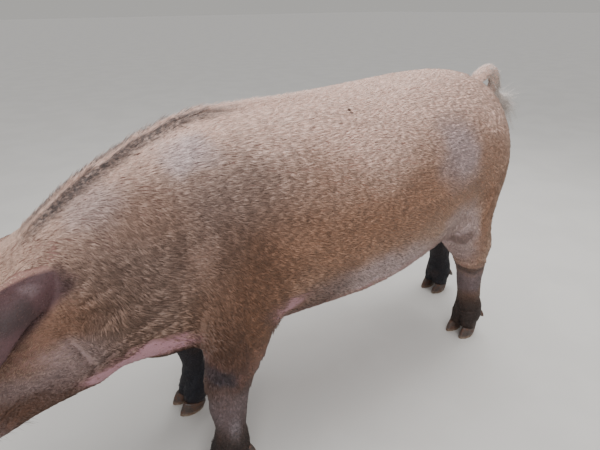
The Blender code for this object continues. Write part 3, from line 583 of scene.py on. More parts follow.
def sculpt_legs(co, no):
    """Gives the legs their joints, tendons, hollows and the cleft between the claws."""
    shift = np.zeros(len(co))
    for leg, line in LEG_LINES.items():
        rows = np.array(line)[::-1]
        x, y, z = co.T
        middle_x = np.interp(z, rows[:, 2], rows[:, 0])
        middle_y = np.interp(z, rows[:, 2], rows[:, 1])
        mine = (z < 0.46) & (np.hypot(x - middle_x, y - middle_y) < 0.105) & (y * rows[0, 1] > 0)
        angle = np.degrees(np.arctan2((y - middle_y) * np.sign(rows[0, 1]), middle_x - x))
        for height, turn, wide, tall, rise in LEG_FORMS[leg.split("_")[0]] + LEG_FORMS["both"]:
            for way in {turn, -turn}:
                off = (angle - way + 180) % 360 - 180
                d = np.hypot(off / wide, (z - height) / tall)
                shift += mine * ramp(1 - d, 0.0, 1.0) * rise
    return co + no * shift[:, None]


def muscle(co, no):
    """Swells and hollows the large forms a little, the same on both sides."""
    half = folded(co) * (1, -1, 1)
    forms = (
        # centre, radii and rise, on the left side
        ((-0.3, -0.19, 0.62), (0.1, 0.08, 0.17), 0.008),
        ((-0.3, -0.2, 0.47), (0.07, 0.06, 0.09), 0.006),
        ((-0.12, -0.215, 0.56), (0.11, 0.08, 0.16), 0.003),
        ((0.42, -0.215, 0.64), (0.14, 0.08, 0.15), 0.006),
        ((0.225, -0.215, 0.64), (0.06, 0.06, 0.14), -0.005),
        ((-0.48, -0.15, 0.6), (0.06, 0.06, 0.11), 0.003),
        ((-0.6, -0.13, 0.48), (0.07, 0.06, 0.08), 0.005),
        ((-0.39, -0.165, 0.56), (0.035, 0.06, 0.12), -0.004),
        ((0.61, -0.17, 0.47), (0.09, 0.11, 0.11), -0.012),
        (head_point(0.1, -0.1, 0.02), (0.055, 0.05, 0.045), 0.005),
        (head_point(0.11, -0.1, -0.06), (0.06, 0.05, 0.05), 0.006),
        (head_point(0.145, -0.075, 0.09), (0.04, 0.035, 0.03), 0.006),
        (head_point(0.205, -0.07, 0.01), (0.05, 0.04, 0.04), -0.004),
        (head_point(0.275, -0.06, -0.018), (0.05, 0.04, 0.022), 0.004),
        (head_point(0.26, -0.056, -0.06), (0.07, 0.04, 0.022), 0.003),
        (head_point(0.22, 0.0, 0.07), (0.06, 0.04, 0.05), -0.003),
    )
    shift = np.zeros(len(co))
    for centre, radii, height in forms:
        shift += ball(half, centre, radii) * height
    shift += ripple(co, 0.12, 5) * 0.0007 * ramp(np.abs(co[:, 1]), 0.05, 0.12)
    return co + no * shift[:, None]


def near_line(co, rows, reach):
    """Points within reach of a line of places, on either side of the animal."""
    path = folded(curve_through(rows, 24))
    half = folded(co)
    found = np.zeros(len(co), bool)
    rough = np.nonzero(((half > path.min(0) - reach) & (half < path.max(0) + reach)).all(1))[0]
    gap = np.linalg.norm(half[rough][:, None] - path[None], axis=2).min(1)
    found[rough] = gap < reach
    return found


def near_any(co, centres, reach):
    """Points within reach of any of these centres."""
    return np.any([np.linalg.norm(co - centre, axis=1) < reach for centre in centres], axis=0)


def refine(item, test):
    """Subdivides the faces whose middles pass the test."""
    middles = column(item.data.polygons, "center").astype(np.float64)
    with editing(item, "FACE", test(middles)):
        bpy.ops.mesh.subdivide(number_cuts=1, smoothness=0.0)
        bpy.ops.mesh.select_all(action="SELECT")
        bpy.ops.mesh.quads_convert_to_tris()


def carve_eye(co, side):
    """Lays two lids over the eyeball, with an almond opening between them and a shallow socket round them."""
    centre, gaze, length, height = eye_axes(side)
    radius = sizes().eye_radius
    thick = sizes().lid_thickness
    rel = co - centre
    x, y, w = rel @ length, rel @ height, rel @ gaze
    rho = np.hypot(x, y)
    reach = radius * 2.6
    # The ear hangs over the eye, well outside this reach
    near = (rho < reach) & (w > -radius * 0.8) & (w < radius * 2.4)
    x, y, w, rho = x[near], y[near], w[near], rho[near]
    half_length = radius * 0.97
    across = np.clip(1 - (x / half_length) ** 2, 0, 1)
    top = radius * 0.5 * across**0.7
    bottom = -radius * 0.38 * across**0.8
    inside = (np.abs(x) < half_length) & (y < top) & (y > bottom)
    outside = np.maximum(np.maximum(y - top, bottom - y), np.abs(x) - half_length)
    edge = np.where(inside, -np.minimum(top - y, y - bottom), outside)
    shell = np.sqrt(np.clip((radius + thick) ** 2 - rho**2, 0, None))
    # The face itself, set back a little round the ball, most of all above it
    socket = bell(rho, radius * 1.12, radius * 0.42) * np.where(y > 0, 0.0034, 0.0022)
    face = np.minimum(w, (radius + thick) * 0.9 + rho * 0.1) - socket
    soft = 0.0022
    mix = np.clip(0.5 + 0.5 * (shell - face) / soft, 0, 1)
    lidded = face * (1 - mix) + shell * mix + soft * mix * (1 - mix)
    lidded = lidded + (w - lidded) * ramp(rho, radius * 1.55, reach)
    fold_up = bell(y - top, 0.004, 0.001) * (y > 0) * across**0.3
    fold_low = bell(bottom - y, 0.0036, 0.001) * (y < 0) * across**0.3
    lidded -= (fold_up * 0.0015 + fold_low * 0.001) * (1 - ramp(rho, radius * 1.0, radius * 1.5))
    lidded += bell(edge, 0, 0.0012) * 0.0005
    pit = np.sqrt(np.clip(radius**2 - rho**2, 0, None)) - 0.0032
    w_new = np.where(edge < 0, lidded + (pit - lidded) * ramp(-edge, 0.0, 0.001), lidded)
    moved = co.copy()
    moved[near] = centre + np.outer(x, length) + np.outer(y, height) + np.outer(w_new, gaze)
    return moved


def carve_snout(co):
    """Gives the disc its flat face, its rolled rim and two deep nostrils."""
    centre, forward, side, up = snout_axes()
    rel = co - centre
    x, y, w = rel @ side, rel @ up, rel @ forward
    disc = np.hypot(x / 0.0487, y / 0.0415)
    face = ramp(w, -0.013, -0.004) * (disc < 1.35)
    flat = -0.003 * ramp(1 - disc, 0.12, 0.6)
    shift = (flat - w) * ramp(1 - disc, 0.02, 0.22) * face
    shift += bell(disc, 0.9, 0.09) * 0.0018 * face
    for hand in (-1.0, 1.0):
        u = x - hand * NOSTRIL_OUT
        v = y + 0.001
        turn = hand * 0.35
        a = u * math.cos(turn) + v * math.sin(turn)
        b = v * math.cos(turn) - u * math.sin(turn)
        hole = np.hypot(a / 0.0076, b / 0.0104)
        shift -= (0.018 * ramp(1.08 - hole, 0.0, 0.34) - 0.002 * bell(hole, 1.32, 0.2)) * face
    shift -= bell(x, 0, 0.0045) * ramp(y, 0.01, 0.036) * 0.0026 * face
    return co + np.outer(shift, forward)


def make_skin():
    """One skin over all the flesh, smoothed, set in by the coat's depth and given its folds."""
    items = [copy_of(name) for name in FLESH]
    items += [copy_of("eye_" + side) for side in SIDES]
    items.append(tail_core())
    skin = joined(items, "skin")
    modified(skin, "REMESH", mode="VOXEL", voxel_size=sizes().grain, adaptivity=0.0)
    keep_largest(skin)
    co = places(skin)
    head, ears, tail, leg = regions(co)
    soften(skin, np.clip(1 - ears * 0.5, 0, 1), 5)
    soften(skin, head * (1 - ears), 18)
    # Fewer triangles, most of them left on head, ears, feet and tail
    feet = ramp(0.13 - co[:, 2], 0.0, 0.03)
    weigh(skin, "thin", 1 - 0.88 * np.clip(head + ears + leg * 0.55 + feet * 0.3 + tail * 0.5, 0, 1))
    share = min(1.0, sizes().triangles / len(triangles(skin)))
    modified(skin, "DECIMATE", ratio=share, vertex_group="thin", use_collapse_triangulate=True)
    skin.vertex_groups.clear()
    co = places(skin)
    no = normals(skin)
    head, ears, tail, leg = regions(co)
    trunk = (1 - head) * (1 - leg) * (1 - ears) * (1 - tail)
    ridge = ramp(0.085 - np.abs(co[:, 1]), 0.0, 0.04) * ramp(no[:, 2], 0.1, 0.5) * ramp(co[:, 2], 0.6, 0.66)
    ridge *= (1 - ramp(co[:, 0], 0.06, 0.12)) * (1 - ears) * (1 - ramp(head, 0.2, 0.8))
    soften(skin, trunk, 3)
    soften(skin, ridge, 11)
    soften(skin, leg * (1 - ramp(0.12 - co[:, 2], 0.0, 0.04) * 0.6), 8)
    # Smaller triangles round the eyes, along the mouth and on the snout
    mouth = [head_point(*row) for row in MOUTH]
    eyes = [eye_axes(side)[0] for side in SIDES]
    for eye_reach, mouth_reach in ((0.034, 0.012), (0.026, 0.005)):
        refine(skin, lambda p: near_any(p, eyes, eye_reach) | near_line(p, mouth, mouth_reach))
    centre = snout_axes()[0]
    refine(skin, lambda p: near_any(p, [centre], 0.056))
    refine(skin, lambda p: near_any(p - centre, [OUT * NOSTRIL_OUT, OUT * -NOSTRIL_OUT], 0.016))
    soften(skin, near_any(places(skin), eyes, 0.035) * 1.0, 10)
    co = places(skin)
    no = normals(skin)
    head = ramp(head_parts(co)[0], 0.0, 0.1)
    tree = tree_of(skin)
    # The skin lies inside the solids by the depth of the coat
    part = nearest_node(co)
    depth = np.full(len(co), sizes().coat_depth)
    thin = [i for i, name in enumerate(FLESH) if name.endswith("_lower") or name.startswith("ear")]
    depth[np.isin(part, thin)] = 0.0012
    depth[part == FLESH.index("snout_disc")] = 0.0
    depth = depth * (1 - 0.7 * head) * ramp(co[:, 2], 0.03, 0.12)
    co = co - no * depth[:, None]
    co = muscle(co, no)
    co = sculpt_legs(co, no)
    co = creases(co, no, tree)
    for side in SIDES:
        co = carve_eye(co, side)
    co = carve_snout(co)
    co[:, 2] = np.maximum(co[:, 2], 0.004)
    set_places(skin, co)
    choose(skin)
    bpy.ops.object.shade_smooth()
    return skin


def regions(co):
    """How far each point belongs to the head, the ears, the tail and the legs."""
    along, out, rise = head_parts(co)
    head = ramp(along, -0.02, 0.07)
    ears = np.zeros(len(co))
    for node_name in ("ear_left", "ear_right"):
        low, high = (np.array(c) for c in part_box(node_name))
        inside = ((co > low - 0.012) & (co < high + 0.012)).all(1)
        ears = np.maximum(ears, inside * ramp(np.abs(out), 0.088, 0.104) * ramp(rise, 0.045, 0.075))
    tail = ramp(co[:, 0], 0.655, 0.7) * ramp(co[:, 2], 0.7, 0.78)
    leg = ramp(0.4 - co[:, 2], 0.0, 0.08) * (1 - ramp(-co[:, 0], 0.4, 0.45))
    leg *= ramp(np.abs(co[:, 1]), 0.03, 0.06)
    leg *= 1 - ball(co, (0.05, 0, 0.36), (0.22, 0.2, 0.1))
    return head, ears, tail, leg


def keep_largest(item):
    """Keeps the outer surface, found from its widest point, and drops the shells inside."""
    across = np.abs(places(item)[:, 1])
    with editing(item, "VERT", np.arange(len(across)) == across.argmax()):
        bpy.ops.mesh.select_linked()
        bpy.ops.mesh.select_all(action="INVERT")
        bpy.ops.mesh.delete(type="VERT")


def tree_of(item):
    """A search tree over one mesh's triangles."""
    return BVHTree.FromPolygons(places(item).tolist(), triangles(item).tolist())


def nearest_node(points):
    """Which node each point lies nearest to, as its place in PARTS."""
    co, faces, owner = [], [], []
    start = 0
    for index, name in enumerate(PARTS):
        item = frame["nodes"][name]
        here = places(item)
        tri = triangles(item)
        co.append(here)
        faces.append(tri + start)
        owner += [index] * len(tri)
        start += len(here)
    tree = BVHTree.FromPolygons(np.concatenate(co).tolist(), np.concatenate(faces).tolist())
    return np.array([owner[tree.find_nearest(p)[2]] for p in points.tolist()])


# The coat


def lie_of(co, no, part):
    """The way the coat lies at each point, along the skin."""
    x, y, z = co.T
    hand = np.sign(y)
    way = np.zeros_like(co)
    side = np.clip(np.abs(no[:, 1]), 0, 1)
    way[:, 0] = 1.0
    way[:, 2] = -0.3 * side - 0.35 * ramp(0.62 - z, 0.0, 0.25) * side
    rump = ramp(x, 0.42, 0.66)
    way[:, 2] -= 1.5 * rump * side + 1.3 * ramp(no[:, 0], 0.2, 0.8)
    way[:, 0] *= 1 - 0.55 * rump
    shoulder = ball(co * (1, 0, 1), (-0.3, 0, 0.5), (0.14, 1, 0.24))
    way[:, 2] -= 0.9 * shoulder
    # Hair falls from the ridge of the neck down its sides, then turns back under the jaw
    neck = ramp(-x, 0.36, 0.5)
    way[:, 2] -= neck * side * (0.9 - 1.3 * ramp(0.6 - z, 0.0, 0.16))
    way[:, 1] += neck * hand * 0.15
    head = np.isin(part, [PARTS.index("head"), PARTS.index("snout_disc")])
    along, out, rise = head_parts(co)
    toward = -AHEAD + np.outer(np.clip(rise, -0.1, 0.1) * 3.0, RISE) + np.outer(np.sign(out) * 0.25, OUT)
    blend = head * ramp(along, -0.02, 0.08)
    way = way * (1 - blend[:, None]) + toward * blend[:, None]
    for leg in ("_upper", "_lower"):
        rows = np.isin(part, [i for i, name in enumerate(PARTS) if name.endswith(leg)])
        way[rows] = (0.35, 0.0, -1.0) if leg == "_upper" else (0.12, 0.0, -1.0)
    for name, sign in (("ear_left", -1.0), ("ear_right", 1.0)):
        rows = part == PARTS.index(name)
        # From the root up and out, then over towards the tip
        bend = ramp(along[rows], -0.02, 0.12)[:, None]
        way[rows] = (AHEAD * 0.83 + OUT * sign * 0.36 + RISE * 0.36) * (1 - bend) + (
            AHEAD * 0.8 + OUT * sign * 0.11 - RISE * 0.58) * bend
    tail = part == PARTS.index("tail")
    if tail.any():
        path = curve_through(TAIL_LINE, 40)
        step = np.gradient(path, axis=0)
        gap = np.linalg.norm(co[tail][:, None] - path[None], axis=2)
        way[tail] = unit(step)[gap.argmin(1)]
    # Whorls on the neck and jowl, and a small unevenness everywhere
    turn = ripple(co, 0.16, 21) * 0.16 + ripple(co, 0.035, 22) * 0.07
    turn += ripple(co, 0.055, 23) * 0.35 * ball(co * (1, 0, 1), (-0.5, 0, 0.55), (0.16, 1, 0.17))
    for middle, reach, angle in WHORLS:
        gap = np.hypot(x - middle[0], z - middle[2])
        turn += bell(gap, 0, reach) * angle * -hand * side
    turn[tail] = 0
    way = unit(way - no * (way * no).sum(1)[:, None])
    cross = np.cross(no, way)
    return way * np.cos(turn)[:, None] + cross * np.sin(turn)[:, None]


def add_piece(name, points, faces, patches, material):
    """A mesh from arrays of points, faces and one map place for each point."""
    mesh = bpy.data.meshes.new(name)
    mesh.vertices.add(len(points))
    mesh.vertices.foreach_set("co", points.astype(np.float32).ravel())
    sides = faces.shape[1]
    mesh.loops.add(faces.size)
    mesh.loops.foreach_set("vertex_index", faces.astype(np.int32).ravel())
    mesh.polygons.add(len(faces))
    mesh.polygons.foreach_set("loop_start", np.arange(0, faces.size, sides, dtype=np.int32))
    mesh.update(calc_edges=True)
    layer = mesh.uv_layers.new(name="OFBake")
    layer.data.foreach_set("uv", patches[faces.ravel()].astype(np.float32).ravel())
    mesh.validate()
    item = bpy.data.objects.new(name, mesh)
    bpy.context.scene.collection.objects.link(item)
    mesh.materials.append(material)
    return item


def short_tufts(name, roots, up, way, length, width, lift, patch, material, draw):
    """Closed four-faced tufts: a root, two sides at a third of the length and a tapered tip."""
    count = len(roots)
    side = unit(np.cross(up, way))
    wide = width[:, None] / 2
    long = length[:, None]
    rise = (lift * length)[:, None]
    root = roots - up * 0.0012
    bend = draw.normal(0, 0.1, (count, 1))
    middle = roots + way * long * 0.36 + up * rise * 0.62
    left = middle - side * wide
    right = middle + side * wide
    tip = roots + way * long + side * long * bend + up * rise
    points = np.stack([root, left, right, tip], 1).reshape(-1, 3)
    base = (np.arange(count) * 4)[:, None]
    faces = np.concatenate([base + f for f in ((0, 2, 1), (1, 2, 3), (0, 1, 3), (0, 3, 2))], 0)
    step = 0.0015
    around = ((0, -step), (-step, -step / 3), (step, -step / 3), (0, step))
    spots = np.stack([patch + spot for spot in around], 1).reshape(-1, 2)
    return add_piece(name, points, faces, np.clip(spots, 0, 1), material)


def long_hairs(name, lines, widths, patch, material):
    """Closed three-sided hairs through rings of points that taper to a tip."""
    count, rings = lines.shape[:2]
    step = unit(np.gradient(lines, axis=1))
    side = unit(np.cross(step, np.array((0.13, 0.31, 0.94))))
    over = np.cross(side, step)
    points = []
    for r in range(rings - 1):
        size = widths[:, None] / 2 * (1.0 - 0.75 * r / (rings - 1))
        for angle in (math.radians(90), math.radians(210), math.radians(330)):
            points.append(lines[:, r] + (side[:, r] * math.cos(angle) + over[:, r] * math.sin(angle)) * size)
    points.append(lines[:, -1])
    each = len(points)
    stacked = np.stack(points, 1).reshape(-1, 3)
    shape = [(0, 2, 1)]
    for r in range(rings - 2):
        for k in range(3):
            a, b = r * 3 + k, r * 3 + (k + 1) % 3
            shape += [(a, b, b + 3), (a, b + 3, a + 3)]
    last = (rings - 2) * 3
    shape += [(last + k, last + (k + 1) % 3, each - 1) for k in range(3)]
    base = (np.arange(count) * each)[:, None]
    faces = np.concatenate([base + np.array(f) for f in shape], 0)
    spots = []
    for r in range(rings - 1):
        for k in range(3):
            spots.append(patch + ((k - 1) * 0.0012, -0.0015 + 0.003 * r / (rings - 1)))
    spots.append(patch + (0, 0.0015))
    return add_piece(name, stacked, faces, np.clip(np.stack(spots, 1).reshape(-1, 2), 0, 1), material)


def unwrap(co, region):
    """Each point's place on an unrolled copy of its own part of the skin, between 0 and 1."""
    x, y, z = co.T
    if region in ("head", "ears"):
        along, out, rise = head_parts(co)
        turn = np.arctan2(out, rise - 0.01) / (2 * math.pi) + 0.5
        return np.stack([np.clip((along + 0.25) / 0.68, 0.01, 0.99), turn * 0.96 + 0.02], 1)
    if region == "legs":
        fore = x < 0.1
        left = y < 0
        slot = np.where(fore, 0, 2) + np.where(left, 0, 1)
        middle_x = np.where(fore, -0.315, 0.545)
        middle_y = np.where(left, -0.15, 0.11)
        turn = np.arctan2(y - middle_y, x - middle_x) / (2 * math.pi) + 0.5
        return np.stack([(slot + 0.04 + 0.92 * turn) / 4, np.clip(z / 0.56, 0.01, 0.99)], 1)
    turn = np.arctan2(y, z - 0.58) / (2 * math.pi) + 0.5
    lows = {"neck": -0.64, "chest": -0.47, "barrel": -0.06, "rump": 0.36}
    spans = {"neck": 0.3, "chest": 0.44, "barrel": 0.46, "rump": 0.58}
    return np.stack([np.clip((x - lows[region]) / spans[region], 0.01, 0.99), turn * 0.96 + 0.02], 1)


REGIONS = {
    "neck": ("neck",),
    "chest": ("chest",),
    "barrel": ("barrel",),
    "rump": ("rump", "tail"),
    "head": ("head", "snout_disc"),
    "ears": ("ear_left", "ear_right"),
    "legs": tuple(leg + part for leg in LEGS for part in ("_upper", "_lower")),
}
# For each part: tufts by area, length and width, as shares of the trunk's
GROWTH = {
    "neck": (1.2, 1.05, 0.85),
    "chest": (1.08, 1.0, 0.95),
    "barrel": (0.92, 0.95, 1.0),
    "rump": (0.9, 0.88, 1.0),
    "tail": (1.4, 0.9, 0.8),
    "head": (1.75, 0.55, 0.6),
    "snout_disc": (0.0, 0.2, 0.4),
    "ear": (0.6, 0.26, 0.22),
    "upper": (1.15, 0.68, 0.85),
    "lower": (1.6, 0.34, 0.65),
}


def growth_table():
    """Tufts by area, length and width for each part in order."""
    rows = []
    for name in PARTS:
        key = "ear" if name.startswith("ear") else name.split("_")[-1] if name.endswith("er") else name
        rows.append(GROWTH.get(key, GROWTH["chest"]))
    return np.array(rows)


def make_coat(skin, material):
    """The short coat in one piece for each region, following the lie of the hair."""
    draw = np.random.default_rng(coat().seed)
    co = places(skin)
    no = normals(skin)
    tri = triangles(skin)
    corners = co[tri]
    area = np.linalg.norm(np.cross(corners[:, 1] - corners[:, 0], corners[:, 2] - corners[:, 0]), axis=1) / 2
    middle = corners.mean(1)
    facing = unit(no[tri].mean(1))
    part = nearest_node(middle)
    density, length, width = growth_table()[part].T
    along = head_parts(middle)[0]
    is_head = part == PARTS.index("head")
    muzzle = is_head * ramp(along, 0.14, 0.3)
    length = length * (1 - 0.45 * muzzle)
    density = density * (1 - 0.45 * muzzle * ramp(along, 0.33, 0.37))
    under = ramp(-facing[:, 2], 0.35, 0.85) * (middle[:, 2] > 0.25) * np.isin(part, [1, 2, 3, 4])
    density = density * (1 - 0.72 * under)
    length = length * (1 - 0.35 * under)
    half = folded(middle)
    for place, reach, strength in BARE:
        bare = ramp(1.25 - np.linalg.norm((half - place) / reach, axis=1), 0.0, 0.5) * strength
        density = density * (1 - bare)
        length = length * (1 - 0.4 * bare)
    lips = near_line(middle, [head_point(*row) for row in MOUTH], 0.0045)
    density = density * (1 - 0.9 * lips)
    for side in SIDES:
        centre, _, long_way, high_way = eye_axes(side)
        rel = middle - centre
        gap = np.hypot((rel @ long_way) / 0.0205, (rel @ high_way) / 0.015)
        close = np.linalg.norm(rel, axis=1) < 0.035
        density = density * np.where(close, ramp(gap, 0.95, 1.25), 1)
        length = length * np.where(close, 0.42 + 0.58 * ramp(gap, 1.0, 2.4), 1)
    density = density * ramp(middle[:, 2], 0.028, 0.05)
    weight = area * density
    total = coat().tufts
    picks = draw.choice(len(tri), size=total, p=weight / weight.sum())
    a, b = draw.random(total), draw.random(total)
    flip = a + b > 1
    a[flip], b[flip] = 1 - a[flip], 1 - b[flip]
    share = np.stack([1 - a - b, a, b], 1)[:, :, None]
    roots = (corners[picks] * share).sum(1)
    up = unit((no[tri[picks]] * share).sum(1))
    owner = part[picks]
    way = lie_of(roots, up, owner)
    clump = 1 + 0.1 * ripple(roots, 0.02, 31)
    long = coat().length * length[picks] * draw.uniform(0.72, 1.22, total) * clump
    wide = coat().width * width[picks] * draw.uniform(0.75, 1.25, total)
    whorl = ball(roots * (1, 0, 1), (-0.51, 0, 0.54), (0.12, 1, 0.14))
    long = long * (1 + 0.35 * whorl)
    lift = coat().lift * draw.uniform(0.55, 1.35, total) * (1 + 0.5 * whorl)
    made = []
    for region, members in REGIONS.items():
        rows = np.nonzero(np.isin(owner, [PARTS.index(m) for m in members]))[0]
        for count, block in enumerate(np.array_split(rows, math.ceil(len(rows) / PIECE_TUFTS)), 1):
            label = "coat_" + region + ("_" + str(count) if len(rows) > PIECE_TUFTS else "")
            made.append(short_tufts(label, roots[block], up[block], way[block], long[block], wide[block],
                                    lift[block], unwrap(roots[block], region), material, draw))
    return made


def make_crest(skin, material):
    """Longer bristles in a low ridge from the poll to the middle of the back."""
    draw = np.random.default_rng(coat().seed + 1)
    tree = tree_of(skin)
    count = coat().crest
    share = draw.random(count)
    x = -0.625 + 0.72 * share
    y = draw.normal(0, 0.013, count)
    keep = []
    for i in range(count):
        hit = tree.ray_cast(Vector((x[i], y[i], 1.2)), Vector((0, 0, -1)))
        if hit[0] is not None:
            keep.append((i, hit[0], hit[1]))
    index = np.array([k[0] for k in keep])
    roots = np.array([k[1] for k in keep])
    up = np.array([k[2] for k in keep])
    share = share[index]
    way = lie_of(roots, up, np.full(len(roots), FLESH.index("chest")))
    strength = np.sin(np.pi * np.clip(0.12 + 0.8 * share, 0, 1)) ** 0.7
    long = draw.uniform(0.024, 0.044, len(roots)) * (0.45 + 0.55 * strength)
    stand = draw.uniform(0.3, 0.6, len(roots)) * (0.5 + 0.5 * strength)
    toss = np.zeros_like(roots)
    toss[:, 1] = draw.normal(0, 0.16, len(roots)) + np.sign(roots[:, 1]) * 0.12
    steps = []
    for t in (0.0, 0.34, 0.68, 1.0):
        rise = stand * (t - 0.36 * t * t)
        steps.append(roots - up * 0.001 + way * (long * t)[:, None] + up * (long * rise)[:, None]
                     + toss * (long * t * t)[:, None])
    lines = np.stack(steps, 1)
    patch = np.stack([0.02 + 0.96 * (roots[:, 0] + 0.66) / 0.8, 0.5 + roots[:, 1] * 5.0], 1)
    widths = draw.uniform(0.001, 0.0017, len(roots))
    return long_hairs("coat_crest", lines, widths, np.clip(patch, 0.01, 0.99), material)


def make_tail_tuft(material):
    """White hairs that clothe the tail's hoop, and the wispy tuft that fans out behind it."""
    draw = np.random.default_rng(coat().seed + 2)
    path = curve_through(TAIL_LINE, 80)
    step = unit(np.gradient(path, axis=0))
    count = coat().tail
    share = 0.16 + 0.84 * draw.beta(1.7, 1.0, count)
    index = (share * 79).astype(int)
    around = draw.uniform(0, 2 * math.pi, count)
    side = unit(np.cross(step, np.array((0, 1, 0)) + step * 0.01))
    over = np.cross(step, side)
    out = side[index] * np.cos(around)[:, None] + over[index] * np.sin(around)[:, None]
    radius = tail_width(share) * 0.8
    roots = path[index] + out * radius[:, None]
    end = ramp(share, 0.55, 0.9)
    long = (0.028 + 0.092 * end) * draw.uniform(0.5, 1.2, count)
    back = np.array((0.96, -0.1, -0.12))
    flow = unit(step[index] * (1 - 0.7 * end)[:, None] + back * (0.9 * end)[:, None])
    flow = unit(flow + out * (0.16 + 0.1 * end)[:, None] + draw.normal(0, 0.13, (count, 3)))
    fan = draw.normal(0, 0.28, count) * end
    steps = []
    for t in (0.0, 0.3, 0.6, 1.0):
        fall = long * t * t * (0.3 * end + fan)
        steps.append(roots + flow * (long * t)[:, None] + np.outer(fall, (0, 0.2, -1.0)))
    lines = np.stack(steps, 1)
    lines[:, :, 0] = np.minimum(lines[:, :, 0], 0.95)
    patch = np.stack([0.02 + 0.96 * share, around / (2 * math.pi)], 1)
    widths = draw.uniform(0.001, 0.0018, count) * (1 - 0.35 * end)
    return long_hairs("coat_tail_tuft", lines, widths, np.clip(patch, 0.01, 0.99), material)


def tail_width(share):
    """Radius of the tail's flesh along its hoop."""
    return 0.0195 * (1.32 - 0.78 * share**0.9)


# Bare places, on the right side: centre, radii and strength
BARE = (
    ((-0.44, 0.12, 0.416), (0.075, 0.05, 0.04), 0.97),
    ((-0.53, 0.115, 0.398), (0.07, 0.05, 0.026), 0.97),
    ((-0.5, 0.05, 0.385), (0.125, 0.07, 0.04), 0.8),
    ((-0.165, 0.195, 0.448), (0.062, 0.05, 0.034), 0.95),
    ((0.19, 0.17, 0.41), (0.16, 0.07, 0.05), 0.55),
    ((0.33, 0.12, 0.41), (0.11, 0.06, 0.06), 0.9),
    (tuple(head_point(0.1, 0.16, 0.1)), (0.15, 0.06, 0.12), 0.45),
)


# Stains, painted highlights and painted shade, on the right side: colour, centre, radii, soft share, strength
# on hair and on skin
STAINS = (
    ("grey", (-0.33, 0.19, 0.62), (0.15, 0.12, 0.17), 0.7, 0.8, 0.8),
    ("grey", (-0.2, 0.2, 0.67), (0.14, 0.12, 0.12), 0.8, 0.5, 0.5),
    ("grey", (-0.5, 0.15, 0.57), (0.1, 0.1, 0.12), 0.6, 0.5, 0.5),
    ("ochre", (-0.42, 0.14, 0.7), (0.06, 0.08, 0.05), 0.8, 0.35, 0.3),
    ("ochre", (-0.05, 0.22, 0.58), (0.27, 0.12, 0.11), 0.8, 0.75, 0.8),
    ("ochre", (-0.06, 0.19, 0.73), (0.07, 0.1, 0.05), 0.8, 0.25, 0.2),
    ("ochre", (-0.22, 0.21, 0.52), (0.06, 0.09, 0.1), 0.5, 0.5, 0.5),
    ("soil", (-0.23, 0.21, 0.5), (0.06, 0.09, 0.08), 0.8, 0.5, 0.5),
    ("ochre", (0.16, 0.23, 0.6), (0.14, 0.12, 0.07), 0.6, 0.45, 0.5),
    ("ochre", (-0.28, 0.2, 0.43), (0.09, 0.1, 0.12), 0.7, 0.65, 0.7),
    ("ochre", (0.38, 0.21, 0.64), (0.2, 0.12, 0.12), 0.55, 0.6, 0.6),
    ("mauve", (0.38, 0.2, 0.7), (0.08, 0.14, 0.08), 0.6, 0.66, 0.8),
    ("ochre", (0.56, 0.2, 0.6), (0.09, 0.12, 0.12), 0.5, 0.36, 0.4),
    # Painted highlights: the sheen of light on the bristles over the shoulder top and on the neck
    ("sheen", (-0.33, 0.1, 0.8), (0.05, 0.05, 0.03), 0.7, 0.42, 0.3),
    ("sheen", (-0.505, 0.08, 0.73), (0.05, 0.05, 0.034), 0.7, 0.26, 0.2),
    ("grey", (-0.48, 0.1, 0.72), (0.15, 0.1, 0.1), 0.8, 0.3, 0.3),
    ("ochre", (-0.605, 0.135, 0.55), (0.06, 0.08, 0.045), 0.7, 0.6, 0.6),
    # Painted shade: soil tint darkens the cheek under the ear and the neck behind it, where the ear shades
    # them
    ("soil", (-0.645, 0.13, 0.525), (0.095, 0.08, 0.06), 0.7, 0.45, 0.5),
    ("soil", (-0.53, 0.14, 0.56), (0.08, 0.09, 0.09), 0.8, 0.35, 0.4),
    # Painted shade: soil tint darkens the side of the shoulder, where the front of the body lies in shade
    ("soil", (-0.3, 0.19, 0.56), (0.07, 0.1, 0.14), 0.8, 0.35, 0.4),
    ("mauve", (-0.67, 0.11, 0.405), (0.09, 0.08, 0.045), 0.5, 0.75, 0.8),
    ("mauve", (-0.59, 0.13, 0.45), (0.07, 0.07, 0.04), 0.8, 0.48, 0.6),
    ("cream", (0.745, 0.00, 0.825), (0.085, 0.06, 0.09), 0.15, 0.8, 0.7),
    ("mauve", (0.415, 0.19, 0.475), (0.08, 0.1, 0.065), 0.45, 0.5, 0.7),
    ("mauve", (0.48, 0.19, 0.365), (0.06, 0.1, 0.08), 0.5, 0.55, 0.6),
    ("ochre", (0.545, 0.21, 0.44), (0.04, 0.06, 0.12), 0.5, 0.65, 0.6),
    ("mauve", (0.12, 0.21, 0.437), (0.2, 0.09, 0.05), 0.55, 0.62, 0.8),
)


